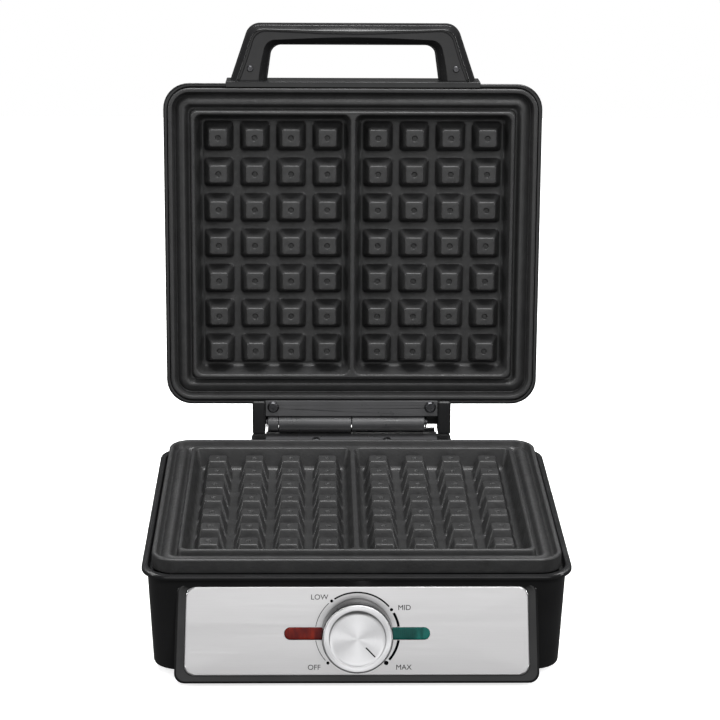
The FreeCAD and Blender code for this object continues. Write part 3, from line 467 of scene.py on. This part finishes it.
PLATE_WIDTH, PLATE_DEPTH, PLATE_CORNER = 243.3, 210.3, 14.5
FLANGE, PLATE_HEIGHT = 9.0, 18.0
CAVITY_DROP, CAVITY_TOP_HALF, CAVITY_IN = 14.0, 1.3, 17.3
NUB_PITCH, NUB_FIRST, NUB_BASE, NUB_TALL = 24.0, 16.8, 19.0, 12.5
NUB_TOP, DIMPLE, DIMPLE_DEEP = 11.4, 1.9, 1.3


def plate_outline(inset):
    corner = max(PLATE_CORNER - inset, 4.0)
    return rounded_rectangle(PLATE_WIDTH - 2 * inset, PLATE_DEPTH - 2 * inset, corner)


def plate_profile():
    """(inset, z) from the underside up to the rim, through the trough, over the shoulder,
    through the groove and up to the ridge round the cavities."""
    points = [(12.1, -PLATE_HEIGHT), (12.1, -FLANGE), (0.8, -FLANGE), (0.2, -FLANGE + 0.2)]
    points += [(0.0, -FLANGE + 0.8), (0.0, -1.1)]
    points += rounding(1.1, 0.0, 0.0, -1.1)[::-1][1:]
    points += [(2.5, 0.0), (2.8, -0.35), (3.0, -1.3), (3.5, -3.6), (4.1, -4.8), (4.8, -5.0)]
    points += [(5.3, -4.4), (6.2, -3.3), (7.6, -2.5), (9.2, -2.0), (10.4, -1.9), (11.2, -2.3)]
    points += [(11.9, -3.4), (12.6, -4.7), (13.2, -5.4), (14.0, -5.4), (14.6, -4.6)]
    points += [(14.9, -2.4), (15.1, -0.8), (15.5, -0.15), (15.9, 0.0)]
    return points


def cavity_profile():
    """(inset from the top outline, z) from the ridge's top down to the floor."""
    slope = math.tan(math.radians(12))
    points = rounding(-0.7, 0.25, 0.0, -0.8, 3)
    points += [(0.25 + slope * 6, -6.5), (0.25 + slope * 11, -11.6)]
    points += [(0.25 + slope * 12 + 0.5, -13.1), (0.25 + slope * 12 + 1.6, -CAVITY_DROP)]
    return points


def nub_rings(x, y):
    """One square nub with soft edges and a dimple in its top."""
    def square(side, corner, z):
        return lift(rounded_rectangle(side, side, corner, 3, x, y), z)

    top = CAVITY_DROP - NUB_TALL
    rings = [square(NUB_BASE + 1.4, 2.6, -CAVITY_DROP), square(NUB_BASE - 0.1, 2.3, -CAVITY_DROP + 0.5)]
    rings += [square(NUB_BASE - 0.8, 2.1, -CAVITY_DROP + 1.6), square(NUB_TOP + 1.2, 1.6, -top - 2.1)]
    rings += [square(NUB_TOP + 0.5, 1.5, -top - 0.75), square(NUB_TOP - 0.2, 1.4, -top - 0.2)]
    rings += [square(NUB_TOP - 1.2, 1.2, -top)]
    for radius, z in [(DIMPLE + 0.3, -top), (DIMPLE, -top - 0.2), (DIMPLE * 0.75, -top - DIMPLE_DEEP)]:
        ring = []
        for px, py in rounded_rectangle(2, 2, 0.9, 3):
            away = Vector((px, py)).normalized() * radius
            ring.append((x + away.x, y + away.y, z))
        rings.append(ring)
    return rings


def grid_plate(name, place, body, node):
    shape = Shape()
    made = shape.loft([lift(plate_outline(inset), z) for inset, z in plate_profile()], capped=False)
    shape.bm.faces.new(made[0][::-1])
    cavity_width = PLATE_WIDTH / 2 - CAVITY_IN - CAVITY_TOP_HALF
    cavity_depth = PLATE_DEPTH - 2 * CAVITY_IN
    mouths = []
    for side in (1, -1):
        middle = side * (CAVITY_TOP_HALF + cavity_width / 2)
        rings = []
        for inset, z in cavity_profile():
            outline = rounded_rectangle(cavity_width - 2 * inset, cavity_depth - 2 * inset,
                                        5.0 - 0.6 * max(inset, 0), 6, middle)
            rings.append(lift(outline, z))
        walls = shape.loft(rings, capped=False)
        mouths.append(walls[0])
        floor = [walls[-1]]
        for column in range(4):
            for row in range(7):
                x = side * (NUB_FIRST + NUB_PITCH * column)
                nub = shape.loft(nub_rings(x, NUB_PITCH * (row - 3)), capped=False)
                shape.bm.faces.new(nub[-1])
                floor.append(nub[0])
        shape.fill(floor)
    shape.fill([made[-1]] + mouths)
    return shape.piece(name, place, body, CASTING, "nonstick_cast", [node], 50)


grid_plate("lower_grid_plate", LOWER_PLATE, "base", "lower_plate")
grid_plate("upper_grid_plate", UPPER_PLATE, "lid", "upper_plate")


# ---------------------------------------------------------------- base

LIP_WIDTH, LIP_CORNER, LIP_Z, LIP_THICK = 255.6, 17.0, 69.0, 3.0
TUB_WIDTH, TUB_DEPTH, TUB_Z, WALL = 243.6, 210.4, 6.0, 2.6
TAPER = math.tan(math.radians(2.6))
HINGE_BLOCK = (-68, 105.5, 44), (68, 131.5, 72.4)
HINGE_SILL = (-57, 128.3, 70), (57, 131.4, 76.4)
CONTROLS_WINDOW = (-52, -112, 22.5), (52, -96, 46.5)


def tub_grow(z):
    """How far the tub's side stands out at a height, against its foot."""
    return (z - TUB_Z) * TAPER


def housing():
    """Tub with its flange, one closed section swept round a rounded rectangle, and the
    hinge's block and sill behind it."""
    low = LIP_Z - LIP_THICK
    spread = (LIP_WIDTH - TUB_WIDTH) / 2
    section = [(WALL, TUB_Z), (1.0, TUB_Z), (0.3, TUB_Z + 0.3), (0.0, TUB_Z + 1.2)]
    section += [(-tub_grow(z), z) for z in (20, 36, 52, low - 1.2)]
    section += [(-tub_grow(low) - 0.3, low - 0.3), (-tub_grow(low) - 1.2, low)]
    section += [(-spread + 0.9, low), (-spread + 0.25, low + 0.25), (-spread, low + 0.9)]
    section += [(-spread, LIP_Z - 1.0), (-spread + 0.3, LIP_Z - 0.3), (-spread + 1.0, LIP_Z)]
    section += [(-3.0, LIP_Z), (-2.4, LIP_Z - 0.25), (-2.15, LIP_Z - 1.0), (-1.5, LIP_Z - 4.6)]
    section += [(0.5, LIP_Z - 5.0), (3.8, LIP_Z - 5.0), (3.8, LIP_Z - 7.5)]
    section += [(WALL - tub_grow(LIP_Z - 7.5), LIP_Z - 7.5)]
    shape = Shape()
    rings = []
    for inset, z in section:
        corner = max(LIP_CORNER - 1.0 - inset * 0.35, 10)
        outline = rounded_rectangle(TUB_WIDTH - 2 * inset, TUB_DEPTH - 2 * inset, corner, 10)
        rings.append(lift(outline, z))
    shape.loft(rings, looped=True)
    shape.block(*HINGE_BLOCK, 2.2, 4)
    shape.block(*HINGE_SILL, 0.5, 2)
    tub = shape.piece("housing", BASE, "base", GLOSS, "black_gloss_plastic", ["base_housing"])
    cutters = Shape()
    cutters.block(*CONTROLS_WINDOW, 0.5, 1)
    cut_away(tub, cutters)


def cut_away(piece, cutters):
    """Take the cutters' solid, drawn in BASE, out of a piece."""
    mesh = bpy.data.meshes.new("cutter")
    cutters.bm.to_mesh(mesh)
    cutters.bm.free()
    mesh.transform(BASE @ Matrix.Scale(MM, 4))
    tool = bpy.data.objects.new("cutter", mesh)
    bpy.context.scene.collection.objects.link(tool)
    modifier = piece.modifiers.new("Cut", "BOOLEAN")
    modifier.operation, modifier.object, modifier.solver = "DIFFERENCE", tool, "EXACT"
    piece.modifiers.remove(piece.modifiers["Weighted"])
    bpy.context.view_layer.update()
    graph = bpy.context.evaluated_depsgraph_get()
    cut = bpy.data.meshes.new_from_object(piece.evaluated_get(graph))
    piece.modifiers.clear()
    piece.data = cut
    cut.set_sharp_from_angle(angle=math.radians(35))
    piece.modifiers.new("Weighted", "WEIGHTED_NORMAL").keep_sharp = True
    bpy.data.objects.remove(tool)


housing()


# ---------------------------------------------------------------- front panel

BEZEL_BASE, BEZEL_END, BEZEL_LOW, BEZEL_HIGH = 217.0, 212.5, -30.7, 30.8
PANEL_BASE, PANEL_END, PANEL_LOW, PANEL_HIGH, PANEL_CORNER = 205.0, 201.5, -25.7, 28.3, 6.0
PANEL_PROUD = 0.5
BEZEL_DEEP, BEZEL_THIN, BEZEL_TOE = -14.5, 1.6, -26.7
WINDOW_IN, WINDOW_OUT, WINDOW_TALL = 17.0, 43.0, 7.5
LENS_STEPS, LENS_PLAIN_IN, LENS_PLAIN_OUT, LENS_PROUD, LENS_RIB = 66, 12, 8, 0.38, 0.16
panel_local = BASE.inverted() @ PANEL
tilt_up, tilt_out = panel_local.col[1].xyz, panel_local.col[2].xyz
panel_at = panel_local.col[3].xyz / MM


def tub_wall_depth(up):
    """How far behind the panel's plane the tub's front wall is, at a height up the panel."""
    y = panel_at.y + up * tilt_up.y
    z = panel_at.z + up * tilt_up.z
    gap = (-TUB_DEPTH / 2 - tub_grow(z)) - y
    return gap / (-tilt_out.y - TAPER * tilt_out.z)


def tapered_outline(base, end, low, high, inset, radius, steps=8):
    corners = [(-base / 2 + inset, low + inset), (base / 2 - inset, low + inset),
               (end / 2 - inset, high - inset), (-end / 2 + inset, high - inset)]
    return rounded_polygon(corners, [radius] * 4, steps)


def bezel():
    """Wedge-shaped surround in front of the tub, with a recess for the panel."""
    def ring(inset, z, radius):
        return lift(tapered_outline(BEZEL_BASE, BEZEL_END, BEZEL_LOW, BEZEL_HIGH, inset, radius), z)

    back = []
    for x, y, _ in ring(0.0, 0.0, 6.0):
        back.append((x, y, -max(tub_wall_depth(y) + 0.5, BEZEL_THIN) if y > BEZEL_TOE else BEZEL_DEEP))
    edge = [(x, y, max(z + 0.6, -1.4)) for x, y, z in back]
    rings = [back, [(x, y, min(z + 4.0, -2.1) if y < 20 else max(z, -1.3)) for x, y, z in edge]]
    rings += [ring(0.05, -1.25, 6.0), ring(0.4, -0.55, 5.7), ring(0.95, -0.15, 5.2)]
    rings += [ring(1.5, 0.0, 4.8), ring(2.1, -0.05, 4.5)]
    panel = []
    for inset, z in [(-0.25, -0.35), (-0.2, -1.0)]:
        outline = tapered_outline(PANEL_BASE, PANEL_END, PANEL_LOW, PANEL_HIGH, inset, PANEL_CORNER)
        panel.append(lift(outline, z))
    shape = Shape()
    shape.loft(rings + panel)
    return shape.piece("panel_surround", PANEL, "base", GLOSS, "black_gloss_plastic", ["front_bezel"])


def control_panel():
    """Satin sheet whose rolled edge carries a painted highlight, holes for the lamps and the shaft."""
    def ring(inset, z, radius):
        outline = tapered_outline(PANEL_BASE, PANEL_END, PANEL_LOW, PANEL_HIGH, inset, radius, 10)
        return lift(outline, z)

    shape = Shape()
    outer = shape.loft([ring(0.0, -1.0, PANEL_CORNER), ring(0.0, PANEL_PROUD - 0.5, PANEL_CORNER),
                        ring(0.25, PANEL_PROUD - 0.3, PANEL_CORNER - 0.2),
                        ring(0.9, PANEL_PROUD, PANEL_CORNER - 0.8)], capped=False)
    holes = [rounded_rectangle(9, 9, 4.4, 8)]
    for side in (1, -1):
        middle = side * (WINDOW_IN + WINDOW_OUT) / 2
        width = WINDOW_OUT - WINDOW_IN + 0.2
        holes.append(rounded_rectangle(width, WINDOW_TALL + 0.2, WINDOW_TALL / 2 - 0.1, 8, middle))
    fronts, backs = [], []
    for hole in holes:
        walls = shape.loft([lift(hole, -1.0), lift(hole, PANEL_PROUD)], capped=False)
        backs.append(walls[0])
        fronts.append(walls[1])
    shape.fill([outer[0]] + backs)
    shape.fill([outer[-1]] + fronts)
    made = shape.piece("panel_sheet", PANEL, "base", PANEL_STEEL, "stainless_panel",
                       ["control_panel"], 60)
    # the edge faces take the lighter steel as a painted highlight
    made.data.materials.append(EDGE_PAINTED_HIGHLIGHT)
    limit = math.cos(math.radians(25))
    for face in made.data.polygons:
        spot = PANEL.inverted() @ face.center / MM
        outside = abs(spot.x) > 99.5 or not PANEL_LOW + 1.2 < spot.y < PANEL_HIGH - 1.2
        if outside and abs(face.normal.dot(PANEL_AXIS)) < limit:
            face.material_index = 1
    return made


def lens(name, side, material, node):
    """Lamp window: a long rounded bar, ribbed across where the light comes through."""
    shape = Shape()
    rings = []
    half = WINDOW_TALL / 2
    for i in range(LENS_STEPS + 1):
        along = (WINDOW_OUT - WINDOW_IN) * i / LENS_STEPS
        end = min(along, WINDOW_OUT - WINDOW_IN - along)
        wide = half if end >= half else math.sqrt(max(half ** 2 - (half - end) ** 2, 0.04))
        ribbed = LENS_PLAIN_IN < i < LENS_STEPS - LENS_PLAIN_OUT
        wave = 0.5 - 0.5 * math.cos(math.tau * i / 3) if ribbed else 1.0
        top = PANEL_PROUD + LENS_PROUD - (LENS_RIB * (1 - wave)) - (0.35 if end < 0.05 else 0)
        x = side * (WINDOW_IN + along)
        section = [(-wide, -2.0), (wide, -2.0), (wide, top - 0.5), (wide * 0.93, top - 0.2)]
        section += [(wide * 0.78, top - 0.03), (0, top), (-wide * 0.78, top - 0.03)]
        section += [(-wide * 0.93, top - 0.2), (-wide, top - 0.5)]
        rings.append([(x, y, z) for y, z in section])
    shape.loft(rings)
    return shape.piece(name, PANEL, "base", material, node, [node], 40)


bezel()
control_panel()
lens("green_window", 1, GREEN, "green_lens")
lens("red_window", -1, RED, "red_lens")


# dial print: clock angles in degrees from the top, clockwise

SCALE_RADIUS = 24.8
OFF_ANGLE, MAX_ANGLE = -136, 136
PRINT_Z = PANEL_PROUD + 0.04
LENS_GAP = 9.5
DIAL_ARCS = [(-131, -90 - LENS_GAP, 0.35), (-90 + LENS_GAP, -42.5, 0.35), (-33, 49, 0.95),
             (60, 90 - LENS_GAP, 1.5), (90 + LENS_GAP, 130, 1.5)]
DIAL_DOTS = [(OFF_ANGLE, 0.95), (-37.5, 0.95), (54.5, 0.95), (MAX_ANGLE, 1.35)]


def clock(radius, angle):
    turn = math.radians(angle)
    return radius * math.sin(turn), radius * math.cos(turn)


def print_arc(shape, start, stop, width):
    """A thin printed line along part of the dial's scale."""
    rings = []
    steps = max(int(abs(stop - start) / 2), 2)
    for i in range(steps + 1):
        angle = start + (stop - start) * i / steps
        (xa, ya), (xb, yb) = clock(SCALE_RADIUS - width / 2, angle), clock(SCALE_RADIUS + width / 2, angle)
        low = PANEL_PROUD - 0.1
        rings.append([(xa, ya, low), (xb, yb, low), (xb, yb, PRINT_Z), (xa, ya, PRINT_Z)])
    shape.loft(rings)


def dial_print():
    """The scale's arcs, thicker towards the hot end, and the dots of its four settings."""
    shape = Shape()
    for start, stop, width in DIAL_ARCS:
        print_arc(shape, start, stop, width)
    for angle, radius in DIAL_DOTS:
        x, y = clock(SCALE_RADIUS, angle)
        spot = Matrix.Translation((x, y, 0))
        shape.turned([(radius, PANEL_PROUD - 0.1), (radius, PRINT_Z)], 24, spot)
    return shape.piece("dial_scale", PANEL, "base", INK, "black_matte_plastic")


LABELS = [("LOW", -22.3, 21.9), ("MID", 27.8, 15.5), ("OFF", -25.4, -20.6), ("MAX", 27.6, -20.6)]
LETTER_TALL = 4.4


def dial_labels():
    """The dial's words as thin printed letters."""
    letters = []
    for word, x, y in LABELS:
        curve = bpy.data.curves.new("word", "FONT")
        curve.body, curve.size, curve.extrude = word, LETTER_TALL * MM, 0.04 * MM
        curve.align_x, curve.align_y, curve.offset = "CENTER", "CENTER", 0.0
        text = bpy.data.objects.new("word", curve)
        bpy.context.scene.collection.objects.link(text)
        bpy.context.view_layer.update()
        mesh = bpy.data.meshes.new_from_object(text.evaluated_get(bpy.context.evaluated_depsgraph_get()))
        bpy.data.objects.remove(text)
        mesh.transform(Matrix.Translation((x * MM, y * MM, (PANEL_PROUD + 0.01) * MM)))
        letters.append(mesh)
    joined = bmesh.new()
    for mesh in letters:
        joined.from_mesh(mesh)
    bmesh.ops.remove_doubles(joined, verts=joined.verts, dist=0.000001)
    mesh = bpy.data.meshes.new("dial_words")
    joined.to_mesh(mesh)
    joined.free()
    made = bpy.data.objects.new("dial_words", mesh)
    bpy.context.scene.collection.objects.link(made)
    return finish_piece(made, PANEL, "base", INK)


dial_print()
dial_labels()


# ---------------------------------------------------------------- knob

KNOB_LOW, KNOB_TOP, FACE_LOW = 1.4, 14.2, 13.1


def knob():
    """Tapered black skirt, a spun metal cap on its front and a painted pointer line."""
    skirt = Shape()
    skirt.turned([(18.8, KNOB_LOW), (20.9, KNOB_LOW), (21.2, KNOB_LOW + 0.25), (21.3, KNOB_LOW + 0.8),
                  (21.1, 6.0), (20.9, FACE_LOW - 0.5), (20.6, FACE_LOW), (6.0, FACE_LOW),
                  (6.0, 2.0), (3.05, 2.0), (3.05, 12.2), (16.0, 11.8), (18.8, 11.2)], 96, looped=True)
    skirt.piece("knob_body", PANEL, "knob", GLOSS, "black_gloss_plastic", ["knob_skirt"], 40)
    face = Shape()
    face.turned([(19.4, FACE_LOW + 0.02), (20.35, FACE_LOW + 0.02), (20.5, FACE_LOW + 0.3),
                 (20.45, KNOB_TOP), (20.1, KNOB_TOP + 0.3), (19.5, KNOB_TOP + 0.4),
                 (17.2, KNOB_TOP + 0.38), (16.6, KNOB_TOP + 0.2), (16.1, KNOB_TOP - 0.05),
                 (14.4, KNOB_TOP - 0.16), (9.0, KNOB_TOP - 0.18), (3.0, KNOB_TOP - 0.19),
                 (0.4, KNOB_TOP - 0.2)], 96)
    face.piece("knob_dish", PANEL, "knob", SPUN, "knob_spun_metal", ["knob_face"], 40, False)
    line = Shape()
    line.block((-0.4, 7.0, KNOB_TOP - 0.35), (0.4, 14.9, KNOB_TOP - 0.1), 0.05, 2)
    turned = PANEL @ Matrix.Rotation(math.radians(-MAX_ANGLE), 4, "Z")
    line.piece("knob_line", turned, "knob", INK, "black_matte_plastic", ["knob_pointer"])


knob()


# ---------------------------------------------------------------- lid

SHELL_WIDTH, SHELL_DEPTH, SHELL_CORNER = 249.0, 216.4, 17.0
SHELL_LOW, SHELL_TOP, SHELL_DOME = 78.4, 117.0, 13.0
DRAFT = math.tan(math.radians(8))
HINGE_SEAT = (-58, 107.6, SHELL_LOW + 0.2), (58, 114.6, SHELL_LOW + 8.3)
HINGE_HOOD = (-58.6, 101.6, 90.5), (58.6, 125.5, 91.5)
EAR_IN, EAR_OUT, EAR_FRONT, EAR_BACK, EAR_LOW, EAR_TOP = 58.3, 67.0, 106.0, 129.0, 76.4, 91.5


def lid():
    """Domed cover with a draft, a seat for the plate inside its rim, a seat and a hood for the
    hinge and an ear at each side of it."""
    seat_in = (SHELL_WIDTH - PLATE_WIDTH) / 2 - 0.3
    seat_z = RIM_Z / MM + CLOSED_GAP / MM + FLANGE + 0.1
    section = [(seat_in + 8, SHELL_TOP - 5), (seat_in + 8, seat_z), (seat_in, seat_z)]
    section += [(seat_in, SHELL_LOW + 0.8), (seat_in - 0.25, SHELL_LOW + 0.2), (seat_in - 0.8, SHELL_LOW)]
    section += [(0.9, SHELL_LOW), (0.25, SHELL_LOW + 0.25), (0.0, SHELL_LOW + 0.9)]
    shoulder = SHELL_TOP - SHELL_DOME - 0.5
    drawn_in = (shoulder - SHELL_LOW) * DRAFT
    section += [((90.0 - SHELL_LOW) * DRAFT, 90.0), (drawn_in, shoulder)]
    for i in range(1, 8):
        angle = math.radians(90 * i / 8)
        section.append((drawn_in + (SHELL_DOME - 1) * (1 - math.cos(angle)),
                        SHELL_TOP - 0.9 - (SHELL_DOME - 0.4) * (1 - math.sin(angle))))
    section += [(16.0, SHELL_TOP - 0.85), (30, SHELL_TOP - 0.45), (60, SHELL_TOP - 0.15),
                (90, SHELL_TOP)]
    rings = []
    for inset, z in section:
        corner = max(SHELL_CORNER - inset * 0.6, 7)
        outline = rounded_rectangle(SHELL_WIDTH - 2 * inset, SHELL_DEPTH - 2 * inset, corner, 10)
        rings.append(lift(outline, z))
    shape = Shape()
    shape.loft(rings)
    shape.block(*HINGE_SEAT, 0.8, 2)
    shape.block(*HINGE_HOOD, 0.3, 2)
    for side in (1, -1):
        low, high = sorted((side * EAR_IN, side * EAR_OUT))
        shape.block((low, EAR_FRONT, EAR_LOW), (high, EAR_BACK, EAR_TOP), 1.3, 3)
    return shape.piece("lid_cover", LID, "lid", GLOSS, "black_gloss_plastic", ["lid_shell"])


lid()


# ---------------------------------------------------------------- handle

FOOT_Y = -SHELL_DEPTH / 2 - 1.2
REACH_Y = -SHELL_DEPTH / 2 - 38.0
OUTER_FOOT, OUTER_END, OUTER_CORNER = 80.75, 68.25, 10.0
INNER_FOOT, INNER_END, INNER_CORNER = 56.5, 53.3, 7.0
BAR_DEEP = 13.9
STRIP_HALF, STRIP_LOW, STRIP_HIGH, STRIP_BACK = 83.5, 77.6, 101.6, -SHELL_DEPTH / 2 + 2.6
GRIP_SEAM, GRIP_TOP = 90.0, 103.0


def open_path(points, radius, steps=10, runs=6):
    """A path through four points with its two middle corners rounded."""
    a, b, c, d = [Vector(p) for p in points]
    path = []
    first = fillet(b, (a - b).normalized(), (c - b).normalized(), radius, steps)
    second = fillet(c, (b - c).normalized(), (d - c).normalized(), radius, steps)
    path += [a.lerp(Vector(first[0]), i / runs) for i in range(runs)]
    path += [Vector(p) for p in first]
    path += [Vector(first[-1]).lerp(Vector(second[0]), i / runs) for i in range(1, runs)]
    path += [Vector(p) for p in second]
    path += [Vector(second[-1]).lerp(d, i / runs) for i in range(1, runs + 1)]
    return path


def loop_edge(foot, end, reach, corner):
    """One edge of the loop, from foot to foot round the bar."""
    return open_path([(-foot, FOOT_Y), (-end, reach), (end, reach), (foot, FOOT_Y)], corner)


def handle_half(name, section, material, slot, node):
    """Half of the loop. section is (edge it is measured from, distance in, z) all round."""
    outer = loop_edge(OUTER_FOOT, OUTER_END, REACH_Y, OUTER_CORNER)
    inner = loop_edge(INNER_FOOT, INNER_END, REACH_Y + BAR_DEEP, INNER_CORNER)
    shape = Shape()
    rings = []
    for far, near in zip(outer, inner):
        across = (near - far).normalized()
        ring = []
        for edge, distance, z in section:
            spot = far + across * distance if edge == "outer" else near - across * distance
            ring.append((spot.x, spot.y, z))
        rings.append(ring)
    shape.loft(rings)
    return shape.piece(name, LID, "lid", material, slot, [node], 30)


def handle():
    """The loop in two halves, front and back, and the strip that it stands on."""
    cover = [("outer", 0.8, GRIP_SEAM), ("outer", 0.8, 86.6), ("outer", 1.2, 85.4),
             ("outer", 3.9, 82.4), ("outer", 4.3, 82.2), ("outer", 4.6, 82.5), ("outer", 4.8, 84.4),
             ("outer", 6.0, 84.4), ("outer", 6.2, 82.5), ("outer", 6.5, 82.05),
             ("outer", 7.0, 82.0), ("inner", 5.9, 82.0), ("inner", 5.4, 82.2), ("inner", 1.3, 86.2),
             ("inner", 0.9, 87.2), ("inner", 0.9, GRIP_SEAM)]
    grip = [("outer", 0.0, GRIP_SEAM + 0.6), ("outer", 0.5, GRIP_SEAM), ("inner", 0.5, GRIP_SEAM),
            ("inner", 0.0, GRIP_SEAM + 0.6), ("inner", 0.0, 97.0), ("inner", 1.2, 100.4),
            ("inner", 3.4, 102.4), ("inner", 5.2, GRIP_TOP), ("outer", 7.0, GRIP_TOP),
            ("outer", 3.8, 102.2), ("outer", 1.2, 99.6), ("outer", 0.0, 95.8)]
    handle_half("handle_front", cover, GLOSS, "black_satin_plastic", "handle_cover")
    handle_half("handle_back", grip, GLOSS, "black_gloss_plastic", "handle_grip")
    foot = Shape()
    foot.block((-STRIP_HALF, FOOT_Y, STRIP_LOW), (STRIP_HALF, STRIP_BACK, STRIP_HIGH), 0.5, 2)
    foot.piece("handle_strip", LID, "lid", GLOSS, "black_gloss_plastic", ["handle_foot"])


handle()


# ---------------------------------------------------------------- small CAD parts with softened edges

SOFTENED = {
    "lower_hinge_bracket": 0.35, "upper_hinge_bracket": 0.35, "upper_bracket_screws": 0.2,
    "lower_bracket_screws": 0.15, "handle_screws": 0.15, "rubber_feet": 0.8, "cord_gland": 0.5,
    "bottom_cover": 0.4, "hinge_pin": 0.25, "hinge_pin_clip": 0.15, "bottom_screws": 0.15,
}
for name, width in SOFTENED.items():
    node = nodes[name]
    weld = node.modifiers.new("Weld", "WELD")
    weld.merge_threshold = 0.01 * MM
    bevel = node.modifiers.new("Bevel", "BEVEL")
    bevel.width, bevel.segments, bevel.limit_method = width * MM, 2, "ANGLE"
    bevel.angle_limit = math.radians(40)
    bevel.harden_normals = False
    node.modifiers.new("Weighted", "WEIGHTED_NORMAL").keep_sharp = True


# ---------------------------------------------------------------- floor, light and camera

FLOOR_HALF = 1500


def floor():
    """White paper that only the camera sees, so that it doesn't light the black plastic."""
    shape = Shape()
    shape.ring([(x * FLOOR_HALF, y * FLOOR_HALF, 0) for x, y in [(-1, -1), (1, -1), (1, 1), (-1, 1)]])
    shape.bm.faces.new(shape.bm.verts)
    mesh = bpy.data.meshes.new("floor")
    shape.bm.to_mesh(mesh)
    shape.bm.free()
    mesh.transform(Matrix.Scale(MM, 4))
    made = bpy.data.objects.new("floor", mesh)
    bpy.context.scene.collection.objects.link(made)
    paint = Paint("floor_paper", (0.9, 0.9, 0.9), 0.9, Specular_IOR_Level=0.0)
    paint.shade(paint.noise(6, 3), 0.995, 1.005)
    paint.shader.inputs["Emission Color"].default_value = (1, 1, 1, 1)
    paint.shader.inputs["Emission Strength"].default_value = 0.72
    made.data.materials.append(paint.material)
    made.visible_glossy = False
    made.visible_diffuse = False


def area_light(name, place, target, width, height, power):
    data = bpy.data.lights.new(name, "AREA")
    data.shape, data.size, data.size_y, data.energy = "RECTANGLE", width, height, power
    made = bpy.data.objects.new(name, data)
    bpy.context.scene.collection.objects.link(made)
    made.location = place
    toward = Vector(target) - Vector(place)
    made.rotation_euler = toward.to_track_quat("-Z", "Y").to_euler()
    return made


def world(strength):
    """Dim even light on the object, and a white backdrop where the camera sees past the floor."""
    made = bpy.data.worlds.new("studio")
    bpy.context.scene.world = made
    made.use_nodes = True
    tree = made.node_tree
    background = tree.nodes["Background"]
    background.inputs["Color"].default_value = (1, 1, 1, 1)
    path = tree.nodes.new("ShaderNodeLightPath")
    share = tree.nodes.new("ShaderNodeMapRange")
    share.inputs["To Min"].default_value = strength
    share.inputs["To Max"].default_value = 1.0
    tree.links.new(path.outputs["Is Camera Ray"], share.inputs["Value"])
    tree.links.new(share.outputs["Result"], background.inputs["Strength"])


floor()
world(0.1)
area_light("overhead", (0.0, -0.1, 1.5), (0, 0, 0.05), 1.1, 0.7, 38)
area_light("front_high", (0.5, -1.9, 1.6), (0, 0, 0.12), 1.0, 0.5, 22)
area_light("front_card", (0.0, -2.2, 0.1), (0, 0, 0.1), 2.4, 0.9, 11)
area_light("left_strip", (-1.3, -0.45, 0.65), (0, 0, 0.12), 0.16, 1.1, 9)
area_light("right_strip", (1.3, -0.35, 0.65), (0, 0, 0.12), 0.16, 1.1, 9)
area_light("back_rim", (0.0, 1.5, 1.3), (0, 0, 0.2), 1.4, 0.3, 9)

CAMERA_AT = (-0.0265, -1.4003, 0.6079)   # metres
YAW, PITCH, ROLL, LENS = 1.2204, 17.7354, 0.4201, 117.07


def camera():
    """A long lens in front, aimed by its turns in degrees: to the right, down and anticlockwise."""
    yaw, pitch, roll = (math.radians(a) for a in (YAW, PITCH, ROLL))
    ahead = Vector((math.sin(yaw) * math.cos(pitch), math.cos(yaw) * math.cos(pitch), -math.sin(pitch)))
    level = Vector((math.cos(yaw), -math.sin(yaw), 0))
    upright = level.cross(ahead)
    right = level * math.cos(roll) + upright * math.sin(roll)
    up = upright * math.cos(roll) - level * math.sin(roll)
    data = bpy.data.cameras.new("camera")
    data.lens, data.sensor_width = LENS, 36
    data.clip_start, data.clip_end = 0.05, 50
    made = bpy.data.objects.new("camera", data)
    bpy.context.scene.collection.objects.link(made)
    turn = Matrix((right, up, -ahead)).transposed()
    made.matrix_world = Matrix.Translation(CAMERA_AT) @ turn.to_4x4()
    bpy.context.scene.camera = made


camera()
bpy.context.scene.view_settings.view_transform = "Standard"
